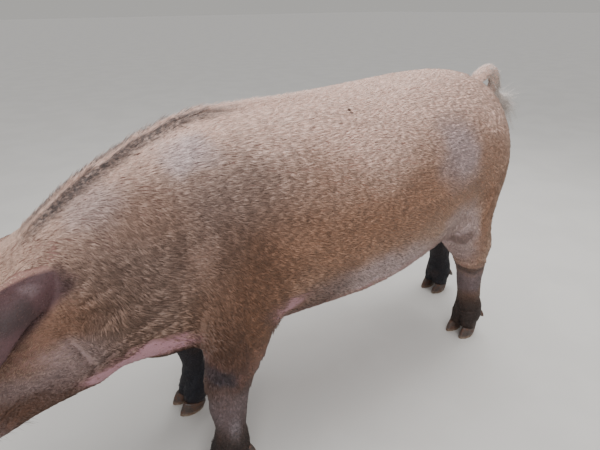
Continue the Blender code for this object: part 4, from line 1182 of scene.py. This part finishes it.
# Mud laid over them, and one painted highlight on the fore cannons: colour, centre, radii, soft share and
# strength
MUD = (
    ("soil", (0.452, 0.196, 0.421), (0.038, 0.06, 0.02), 0.5, 0.65),
    ("wet", (0.55, 0.15, 0.272), (0.08, 0.09, 0.013), 0.4, 0.7),
    ("wet", (0.7, 0.1, 0.272), (0.08, 0.07, 0.013), 0.4, 0.6),
    ("ochre", (-0.262, 0.21, 0.39), (0.03, 0.05, 0.075), 0.5, 0.75),
    ("soil", (-0.292, 0.2, 0.4), (0.05, 0.08, 0.08), 0.7, 0.5),
    ("blue_black", (-0.345, 0.18, 0.318), (0.034, 0.07, 0.026), 0.5, 0.97),
    ("slate", (-0.32, 0.18, 0.205), (0.08, 0.09, 0.075), 0.6, 0.65),
    # A painted highlight: a small glint of light on the fore cannon
    ("sheen", (-0.319, 0.19, 0.155), (0.018, 0.03, 0.03), 0.8, 0.15),
    ("slate", (0.59, 0.15, 0.22), (0.06, 0.09, 0.05), 0.4, 0.75),
    ("soil", (0.073, 0.11, 0.835), (0.0045, 0.02, 0.0045), 0.2, 0.9),
    ("soil", (-0.068, 0.1, 0.842), (0.0045, 0.02, 0.0045), 0.2, 0.9),
)


# Places where bare skin shows: centre, radii, soft share and strength
NAKED = (
    ((-0.44, 0.11, 0.412), (0.078, 0.09, 0.042), 0.3, 0.95),
    ((-0.53, 0.11, 0.396), (0.075, 0.09, 0.028), 0.3, 0.95),
    ((-0.165, 0.19, 0.448), (0.055, 0.06, 0.03), 0.5, 0.75),
    ((0.1, 0.1, 0.33), (0.42, 0.16, 0.075), 0.4, 0.75),
    ((0.3, 0.13, 0.41), (0.12, 0.08, 0.06), 0.4, 0.8),
)


def make_face_hair(skin, material):
    """Lashes over each eye, and whiskers on muzzle and chin."""
    draw = np.random.default_rng(coat().seed + 3)
    radius = sizes().eye_radius + sizes().lid_thickness * 0.6
    lines, widths, patch = [], [], []
    for side, hand in SIDES.items():
        centre, gaze, long_way, high_way = eye_axes(side)
        for _ in range(90):
            x = draw.uniform(-0.8, 0.8) * sizes().eye_radius
            y = sizes().eye_radius * 0.53 * (1 - (x / (sizes().eye_radius * 0.93)) ** 2) ** 0.8 + 0.0006
            root = centre + long_way * x + high_way * y + gaze * math.sqrt(max(radius**2 - x * x - y * y, 0))
            rise = high_way * draw.uniform(-0.15, 0.25)
            out = unit(gaze * 0.85 + rise + long_way * (x * 30 + draw.normal(0, 0.1)))
            size = draw.uniform(0.009, 0.015)
            drop = np.array((0, 0, -0.35))
            lines.append([root + out * size * t + drop * size * t * t for t in (0.0, 0.35, 0.7, 1.0)])
            widths.append(draw.uniform(0.0004, 0.0007))
            patch.append((0.2 + 0.3 * (hand > 0) + x * 6, 0.5 + draw.uniform(-0.02, 0.02)))
    tree = tree_of(skin)
    for _ in range(420):
        along = draw.uniform(0.22, 0.365)
        turn = draw.uniform(-math.pi, math.pi)
        start = head_point(along, 0, -0.02)
        ray = OUT * math.sin(turn) + RISE * math.cos(turn)
        hit = tree.ray_cast(Vector(start + ray * 0.2), Vector(-ray))
        if hit[0] is None:
            continue
        root = np.array(hit[0])
        size = draw.uniform(0.01, 0.024)
        out = unit(-AHEAD * 0.45 + np.array(hit[1]) * 0.75 + draw.normal(0, 0.12, 3))
        lines.append([root + out * size * t - RISE * size * 0.25 * t * t for t in (0.0, 0.35, 0.7, 1.0)])
        widths.append(draw.uniform(0.0004, 0.0007))
        patch.append((0.02 + 0.9 * (along - 0.2) / 0.2 * 0.3, 0.1 + 0.3 * (turn / math.pi * 0.5 + 0.5)))
    spots = np.clip(np.array(patch), 0.01, 0.99)
    return long_hairs("coat_face_hairs", np.array(lines), np.array(widths), spots, material)


# Materials


def fill(tree, made, inputs):
    """Fills a node's sockets with values or other nodes' outputs."""
    for key, value in inputs.items():
        if isinstance(value, bpy.types.NodeSocket):
            tree.links.new(value, made.inputs[key])
        else:
            made.inputs[key].default_value = value


# Nodes by short names: the type, its settings, its inputs in order, and its output, or None for all
NODES = {
    "marks": ("Group", {}, (), None),
    "place": ("TexCoord", {}, (), "Object"),
    "sky": ("TexCoord", {}, (), "Generated"),
    "parts": ("SeparateXYZ", {}, (0,), None),
    "gather": ("CombineXYZ", {}, (0, 1, 2), 0),
    "noise": ("TexNoise", {}, ("Vector", "Scale", "Detail", "Roughness"), 0),
    "tints": ("TexNoise", {}, ("Vector", "Scale", "Detail"), 1),
    "cells": ("TexVoronoi", {"feature": "DISTANCE_TO_EDGE"}, ("Vector", "Scale"), 0),
    "bump": ("Bump", {}, ("Height", "Strength", "Distance"), 0),
    "blend": ("Mix", {"data_type": "RGBA", "clamp_factor": True}, (6, 7, 0), 2),
    "range": ("MapRange", {"interpolation_type": "SMOOTHSTEP"}, (0, 1, 2, 3, 4), 0),
    "tone": ("VectorMath", {"operation": "SCALE"}, (0, 3), 0),
    "plus": ("Math", {"operation": "ADD"}, (0, 1), 0),
    "times": ("Math", {"operation": "MULTIPLY"}, (0, 1), 0),
    "times plus": ("Math", {"operation": "MULTIPLY_ADD"}, (0, 1, 2), 0),
    "absolute": ("Math", {"operation": "ABSOLUTE"}, (0,), 0),
    "from": ("VectorMath", {"operation": "SUBTRACT"}, (0, 1), 0),
    "stretch": ("VectorMath", {"operation": "MULTIPLY"}, (0, 1), 0),
    "stretch plus": ("VectorMath", {"operation": "MULTIPLY_ADD"}, (0, 1, 2), 0),
    "dot": ("VectorMath", {"operation": "DOT_PRODUCT"}, (0, 1), 1),
    "length": ("VectorMath", {"operation": "LENGTH"}, (0,), 1),
}


def node(tree, kind, *values, **more):
    """Adds a node with its settings, fills or links its inputs and gives back its output."""
    kind, settings, keys, out = NODES[kind]
    made = tree.nodes.new("ShaderNode" + kind)
    for key, value in (settings | more).items():
        setattr(made, key, value)
    fill(tree, made, dict(zip(keys, values)))
    return made.outputs if out is None else made.outputs[out]


def spot(tree, place, centre, radii, soft=0.35, strength=1.0):
    """1 inside an ellipsoid at that place, fading over its soft edge to 0."""
    scale = [1.0 / r for r in radii]
    shift = [-c / r for c, r in zip(centre, radii)]
    size = node(tree, "length", node(tree, "stretch plus", place, scale, shift))
    return node(tree, "range", size, 1.0 + soft, 1.0 - soft, 0.0, strength)


def markings():
    """The boar's markings, with some painted highlights and painted shade among them, shared by its skin and
    its coat: a colour for each.
    """
    tree = bpy.data.node_groups.new("Boar markings", "ShaderNodeTree")
    add = partial(node, tree)
    for name, kind in (("Skin", "Color"), ("Hair", "Color"), ("Wet", "Float")):
        tree.interface.new_socket(name, in_out="OUTPUT", socket_type="NodeSocket" + kind)
    place = add("place")
    # Edges of the stains wander by some 25 mm
    wander = add("tints", place, 11.0, 3.0)
    wander = add("from", wander, (0.5, 0.5, 0.5))
    x, y, height = add("parts", add("stretch plus", wander, (0.08, 0.06, 0.08), place))
    pair = add("gather", x, add("absolute", y), height)
    hair = add("blend", colour("straw"), colour("cream"), add("range", height, 0.52, 0.8))
    skin = add("blend", colour("soil"), colour("pink"), add("range", height, 0.5, 0.8, 0.35, 0.85))

    def lay(name, mask, on_hair=1.0, on_skin=1.0):
        nonlocal hair, skin
        hair = add("blend", hair, colour(name), add("times", mask, on_hair))
        skin = add("blend", skin, colour(name), add("times", mask, on_skin))

    for name, centre, radii, soft, on_hair, on_skin in STAINS:
        lay(name, spot(tree, pair, centre, radii, soft), on_hair, on_skin)
    # A dark line runs under the pale bristles of the neck's ridge: partly darker grey hair, partly painted
    # shadow cast by the raised bristles along their parting
    beside = add("absolute", add("parts", place)[1])
    ridge = add("times", add("range", beside, 0.004, 0.014), add("range", beside, 0.052, 0.026))
    ridge = add("times", ridge, spot(tree, pair, (-0.43, 0.02, 0.79), (0.25, 0.08, 0.16), 0.3, 0.9))
    strands = add("range", add("noise", place, 1000 / 7.0, 2.0, 0.6), 0.32, 0.58, 0.35, 1.0)
    lay("crest", add("times", ridge, strands))
    # Mud thickens down the legs, first on the fore legs
    lay("soil", add("times", add("range", height, 0.54, 0.37, 0.0, 0.95), add("range", x, 0.05, -0.05)))
    lay("soil", add("times", add("range", height, 0.3, 0.2, 0.0, 0.6), add("range", x, -0.05, 0.05)))
    for name, centre, radii, soft, strength in MUD:
        lay(name, spot(tree, pair, centre, radii, soft, strength))
    lay("wet", add("range", height, 0.2, 0.1, 0.0, 0.9))
    # The far side turns blue black from low on the belly down, its two legs most of all
    lay("blue_black", add("times", add("range", height, 0.44, 0.26), add("range", y, 0.01, 0.04, 0.0, 0.92)))
    for centre, radii, soft, strength in NAKED:
        mask = spot(tree, pair, centre, radii, soft, strength)
        hair = add("blend", hair, colour("disc"), add("times", mask, 0.85))
        skin = add("blend", skin, colour("bare"), mask)
    # Dried mud in flecks of some 8 mm and blotches of some 60 mm
    flecks = add("range", add("noise", place, 1000 / 8.0, 2.0, 0.5), 0.66, 0.74, 0.0, 0.55)
    blots = add("range", add("noise", place, 1000 / 60.0, 4.0, 0.6), 0.5, 0.72, 0.0, 0.3)
    for mask in (flecks, blots):
        lay("soil", add("times", mask, add("range", height, 0.84, 0.55, 0.06, 0.9)))
    # The head is measured along its own axis, on both sides alike
    rel = add("from", place, tuple(HEAD_START))
    ahead = add("dot", rel, tuple(AHEAD))
    over = add("dot", rel, tuple(RISE))
    temple = add("gather", ahead, beside, over)
    muzzle = add("range", ahead, 0.2, 0.36, 0.0, 0.55)
    hair = add("blend", hair, colour("mauve"), muzzle)
    skin = add("blend", skin, colour("disc"), muzzle)
    skin = add("blend", skin, colour("disc"), add("range", ahead, 0.372, 0.384))
    # Ears stand out beyond the temples: a pale painted highlight on a fold near the root, and a dark painted
    # shadow where the hollow of the ear lies
    ears = add("times", add("range", beside, 0.096, 0.106), add("range", over, 0.052, 0.072))
    ears = add("times", ears, add("range", ahead, -0.085, -0.045))
    fold_highlight = spot(tree, pair, (-0.637, 0.128, 0.624), (0.018, 0.024, 0.007), 0.8, 0.13)
    ear_shadow = spot(tree, pair, (-0.668, 0.146, 0.592), (0.045, 0.03, 0.024), 0.6, 0.6)
    flap = add("blend", add("blend", colour("ear"), colour("mauve"), fold_highlight), colour("wet"), ear_shadow)
    skin = add("blend", skin, flap, ears)
    hair = add("blend", hair, colour("ear"), add("times", ears, 0.88))
    # Bare rims of the eyelids, and painted shade that darkens the nostrils
    lid = spot(tree, temple, (EYE_ALONG, 0.088, EYE_RISE), (0.021, 0.022, 0.015), 0.3, 0.85)
    skin = add("blend", skin, colour("lid"), lid)
    nostril_shade = spot(tree, temple, (0.4, NOSTRIL_OUT, -0.005), (0.03, 0.0062, 0.0088), 0.25, 0.92)
    skin = add("blend", skin, colour("wet"), nostril_shade)
    # Each tuft of some 4 mm has its own tone
    streak = add("noise", add("stretch", place, (0.22, 1.0, 0.8)), 1000 / 4.0, 3.0, 0.7)
    fill(tree, tree.nodes.new("NodeGroupOutput"), {
        "Skin": add("tone", skin, add("range", streak, 0.25, 0.75, 0.86, 1.1)),
        "Hair": add("tone", hair, add("range", streak, 0.3, 0.7, 0.75, 1.15)),
        "Wet": add("range", height, 0.22, 0.12, 0.0, 1.0),
    })
    return tree


def plain_material(name):
    """An empty material, its tree and its main shader."""
    made = bpy.data.materials.new(name)
    made.use_nodes = True
    tree = made.node_tree
    return made, tree, tree.nodes["Principled BSDF"]


def skin_material(group):
    """Pig skin, thick and dry: wrinkled in cells of some 4 mm, pitted where bristles grow, a little oily."""
    made, tree, shader = plain_material("Pig skin")
    add = partial(node, tree)
    marks = add("marks", node_tree=group)
    place = add("place")
    lines = add("range", add("cells", place, 1000 / 4.0), 0.0, 0.22)
    hairs = add("noise", add("stretch", place, (0.18, 1.0, 0.75)), 1000 / 1.6, 3.0, 0.7)
    pores = add("noise", place, 1000 / 2.2, 4.0, 0.65)
    lumps = add("plus", add("times", lines, 0.5), add("times", hairs, 0.9))
    lumps = add("plus", lumps, add("times", pores, 0.5))
    # Dry above, wet mud on the feet
    dry = add("range", pores, 0.3, 0.7, 0.5, 0.68)
    fill(tree, shader, {
        "Base Color": marks["Skin"],
        "Normal": add("bump", lumps, 0.45, 0.001),
        "Roughness": add("times plus", marks["Wet"], -0.18, dry),
        "IOR": 1.42,
        "Subsurface Weight": 0.06,
        "Subsurface Radius": (0.004, 0.0018, 0.001),
        "Subsurface Scale": 1.0,
    })
    return made


def hair_material(group):
    """Coarse pig bristle: keratin, stiff and round, a satin glint along each clump, dulled by dust."""
    made, tree, shader = plain_material("Pig bristle")
    add = partial(node, tree)
    marks = add("marks", node_tree=group)
    fill(tree, shader, {
        "Base Color": marks["Hair"],
        "Roughness": 0.46,
        "IOR": 1.54,
        "Specular IOR Level": 0.42,
    })
    return made


def tail_material():
    """White tail bristle: clean, long, its tone varied in clumps of some 3 mm."""
    made, tree, shader = plain_material("Tail bristle")
    add = partial(node, tree)
    tone = add("noise", add("place"), 1000 / 3.0, 2.0, 0.6)
    tint = add("blend", linear("#a8968a"), linear("#efe6e0"), add("range", tone, 0.35, 0.6))
    fill(tree, shader, {"Base Color": tint, "Roughness": 0.42, "IOR": 1.54})
    return made


def horn_material():
    """Claw horn: keratin grown in rings some 2 mm apart, satin above and scuffed pale at the ground edge."""
    made, tree, shader = plain_material("Claw horn")
    add = partial(node, tree)
    place = add("place")
    rings = add("noise", add("stretch", place, (0.25, 0.25, 1.0)), 1000 / 2.0, 2.0, 0.5)
    fibre = add("noise", add("stretch", place, (1.0, 1.0, 0.15)), 1000 / 1.2, 3.0, 0.6)
    tint = add("blend", colour("horn"), colour("wet"), add("range", rings, 0.35, 0.65, 0.0, 0.7))
    ground = add("range", add("parts", place)[2], 0.014, 0.002)
    worn = add("times", ground, add("range", fibre, 0.35, 0.6, 0.3, 1.0))
    tint = add("blend", tint, colour("horn_tip"), worn)
    mud = add("range", add("noise", place, 1000 / 14.0, 4.0, 0.6), 0.45, 0.6, 0.0, 0.7)
    fill(tree, shader, {
        "Base Color": add("blend", tint, colour("soil"), mud),
        "Normal": add("bump", add("plus", rings, add("times", fibre, 0.5)), 0.6, 0.0012),
        "Roughness": add("range", mud, 0.0, 0.7, 0.38, 0.8),
        "IOR": 1.54,
    })
    return made


def eye_material(side):
    """A wet eye: dark oval pupil, brown iris, dull white only at the corners, a clear gloss over all."""
    made, tree, shader = plain_material("Eye " + side)
    add = partial(node, tree)
    centre, _, length, height = eye_axes(side)
    place = add("place")
    rel = add("from", place, tuple(centre))
    flat = add("gather", *[add("dot", rel, tuple(way)) for way in (length, height)])
    pupil = add("length", add("stretch", flat, (0.72, 1.1, 1.0)))
    rays = add("noise", place, 1000 / 1.0, 3.0, 0.7)
    iris = add("blend", colour("iris"), linear("#6a4526"), add("range", rays, 0.4, 0.7, 0.0, 0.8))
    white = add("blend", colour("white"), linear("#7d4a3e"), add("range", rays, 0.5, 0.75, 0.0, 0.6))
    tint = add("blend", iris, white, add("range", add("length", flat), 0.0088, 0.0098))
    fill(tree, shader, {
        "Base Color": add("blend", linear("#060505"), tint, add("range", pupil, 0.0036, 0.0044)),
        "Roughness": 0.06,
        "IOR": 1.34,
        "Coat Weight": 0.2,
        "Coat Roughness": 0.03,
    })
    return made


# Eyes and claws


def make_eye(side):
    """An eyeball with the swell of its cornea, turned to its gaze."""
    centre, gaze, length, height = eye_axes(side)
    radius = sizes().eye_radius
    deselect_all()
    bpy.ops.mesh.primitive_uv_sphere_add(segments=48, ring_count=32, radius=1.0, location=(0, 0, 0))
    item = bpy.context.object
    item.name = "eye_" + side + "_ball"
    co = places(item)
    local = co * radius
    near = ramp(co[:, 2], 0.72, 0.86)
    local += co * (near * 0.0011)[:, None]
    turned = np.outer(local[:, 0], length) + np.outer(local[:, 1], height) + np.outer(local[:, 2], gaze)
    set_places(item, centre + turned)
    item.data.name = item.name
    with editing(item, "FACE"):
        bpy.ops.mesh.normals_make_consistent(inside=False)
    bpy.ops.object.shade_smooth()
    item.data.materials.append(eye_material(side))
    finished(item, "eye_" + side)


def make_claws(leg, material):
    """The four claws of one foot: rounded horn with growth rings and a worn rim."""
    item = joined([copy_of(leg + "_" + part) for part in CLAWS], "claws_" + leg)
    modified(item, "REMESH", mode="VOXEL", voxel_size=0.0018, adaptivity=0.0)
    soften(item, ramp(places(item)[:, 2], 0.001, 0.006), 14)
    co = places(item)
    no = normals(item)
    wall = ramp(1 - np.abs(no[:, 2]), 0.1, 0.5)
    rings = np.sin(co[:, 2] * 2 * math.pi / 0.0052 + ripple(co, 0.03, 3) * 1.4) * 0.00028
    chips = -np.clip(ripple(co, 0.006, 4) - 0.7, 0, 1) * 0.0012 * ramp(0.01 - co[:, 2], 0.0, 0.008)
    co = co + no * ((rings + chips) * wall - 0.0003)[:, None]
    co[:, 2] = np.maximum(co[:, 2], 0.0)
    set_places(item, co)
    choose(item)
    bpy.ops.object.shade_smooth()
    item.data.materials.clear()
    item.data.materials.append(material)
    finished(item, *[leg + "_" + part for part in CLAWS])


# Operators


class BOAR_OT_skin(bpy.types.Operator):
    """Builds the boar's one skin over all its flesh"""

    bl_idname = "boar.skin"
    bl_label = "Skin"

    def execute(self, context):
        skin = make_skin()
        skin.data.materials.clear()
        skin.data.materials.append(skin_material(markings()))
        finished(skin, *FLESH, "tail")
        return {"FINISHED"}


class BOAR_OT_coat(bpy.types.Operator):
    """Grows the short coat, the crest, the face hair and the tail tuft"""

    bl_idname = "boar.coat"
    bl_label = "Coat"

    def execute(self, context):
        skin = bpy.data.objects["skin"]
        material = hair_material(bpy.data.node_groups["Boar markings"])
        made = make_coat(skin, material)
        made.append(make_crest(skin, material))
        made.append(make_face_hair(skin, material))
        for item in made:
            finished(item)
        tuft = make_tail_tuft(tail_material())
        finished(tuft)
        return {"FINISHED"}


class BOAR_OT_eyes(bpy.types.Operator):
    """Sets both eyeballs into their lids"""

    bl_idname = "boar.eyes"
    bl_label = "Eyes"

    def execute(self, context):
        for side in SIDES:
            make_eye(side)
        return {"FINISHED"}


class BOAR_OT_claws(bpy.types.Operator):
    """Builds the claws of all four feet"""

    bl_idname = "boar.claws"
    bl_label = "Claws"

    def execute(self, context):
        material = horn_material()
        for leg in LEGS:
            make_claws(leg, material)
        return {"FINISHED"}


class BOAR_OT_stage(bpy.types.Operator):
    """Sets the plain floor, the soft lights and the camera"""

    bl_idname = "boar.stage"
    bl_label = "Stage"

    def execute(self, context):
        studio = context.scene.boar_studio
        deselect_all()
        bpy.ops.mesh.primitive_plane_add(size=120.0, location=(0, 0, 0))
        floor = context.object
        floor.name = "floor"
        made, tree, shader = plain_material("Pale floor paint")
        add = partial(node, tree)
        # Matt studio paint: a faint mottling of some 300 mm, no gloss
        cloud = add("range", add("noise", add("place"), 1000 / 300.0, 3.0, 0.5), 0.4, 0.6, 0.0, 0.4)
        tint = add("blend", colour("floor"), linear("#c6c3be"), cloud)
        fill(tree, shader, {"Base Color": tint, "Roughness": 0.9})
        floor.data.materials.append(made)
        lamps = (
            # name, kind, place, target, size (metres, or degrees for the sun), power
            ("key", "AREA", (1.3, 0.5, 2.6), (0.15, 0.0, 0.6), 1.9, 52.0),
            ("front", "AREA", (-1.4, -2.8, 2.4), (-0.1, 0.0, 0.5), 2.6, 84.0),
            ("day", "SUN", (0.0, 0.0, 4.0), (-0.5, 0.5, 0.0), 40.0, 0.9),
        )
        for name, kind, place, target, size, power in lamps:
            bpy.ops.object.light_add(type=kind, location=place)
            lamp = context.object
            lamp.name = "lamp_" + name
            if kind == "SUN":
                lamp.data.angle = math.radians(size)
            else:
                lamp.data.shape = "SQUARE"
                lamp.data.size = size
            lamp.data.energy = power
            lamp.rotation_euler = (Vector(target) - Vector(place)).to_track_quat("-Z", "Y").to_euler()
        world = bpy.data.worlds.new("Soft room")
        world.use_nodes = True
        tree = world.node_tree
        add = partial(node, tree)
        # The room has the floor's tone at its foot and is a little bluer above
        up = add("parts", add("sky"))[2]
        tint = add("blend", linear("#d8d6d2"), linear("#e4e5e8"), add("range", up, 0.0, 0.5))
        fill(tree, tree.nodes["Background"], {0: tint, 1: 0.66})
        context.scene.world = world
        bpy.ops.object.camera_add(location=tuple(studio.eye_point))
        camera = context.object
        camera.name = "camera"
        yaw, pitch, roll = studio.yaw, studio.pitch, studio.roll
        forward = Vector((math.sin(yaw) * math.cos(pitch), math.cos(yaw) * math.cos(pitch), -math.sin(pitch)))
        right = Vector((math.cos(yaw), -math.sin(yaw), 0.0))
        above = right.cross(forward)
        across = right * math.cos(roll) + above * math.sin(roll)
        above = above * math.cos(roll) - right * math.sin(roll)
        turn = Matrix((across, above, -forward)).transposed()
        camera.rotation_euler = turn.to_euler()
        camera.data.sensor_width = 36.0
        camera.data.lens = studio.lens
        camera.data.clip_start = 0.02
        camera.data.clip_end = 100.0
        context.scene.camera = camera
        return {"FINISHED"}


OPERATORS = (BOAR_OT_skin, BOAR_OT_eyes, BOAR_OT_claws, BOAR_OT_coat, BOAR_OT_stage)


class BOAR_PT_panel(bpy.types.Panel):
    """Lists the boar's pieces in the sidebar"""

    bl_label = "Boar"
    bl_idname = "BOAR_PT_panel"
    bl_space_type = "VIEW_3D"
    bl_region_type = "UI"
    bl_category = "Boar"

    def draw(self, context):
        layout = self.layout
        for operator in OPERATORS:
            layout.operator(operator.bl_idname)
        for name, kind in GROUPS.items():
            box = layout.box()
            for key in kind.__annotations__:
                box.prop(getattr(context.scene, "boar_" + name), key)


CLASSES = (*GROUPS.values(), *OPERATORS, BOAR_PT_panel)


def register():
    """Registers the classes and hangs the settings on the scene."""
    for kind in CLASSES:
        bpy.utils.register_class(kind)
    for name, kind in GROUPS.items():
        setattr(bpy.types.Scene, "boar_" + name, bpy.props.PointerProperty(type=kind))


def unregister():
    """Takes the settings and classes away again."""
    for name in GROUPS:
        delattr(bpy.types.Scene, "boar_" + name)
    for kind in reversed(CLASSES):
        bpy.utils.unregister_class(kind)


def main():
    """Builds every piece in order."""
    register()
    bpy.ops.boar.skin()
    bpy.ops.boar.eyes()
    bpy.ops.boar.claws()
    bpy.ops.boar.coat()
    bpy.ops.boar.stage()
    deselect_all()


if __name__ == "__main__":
    main()
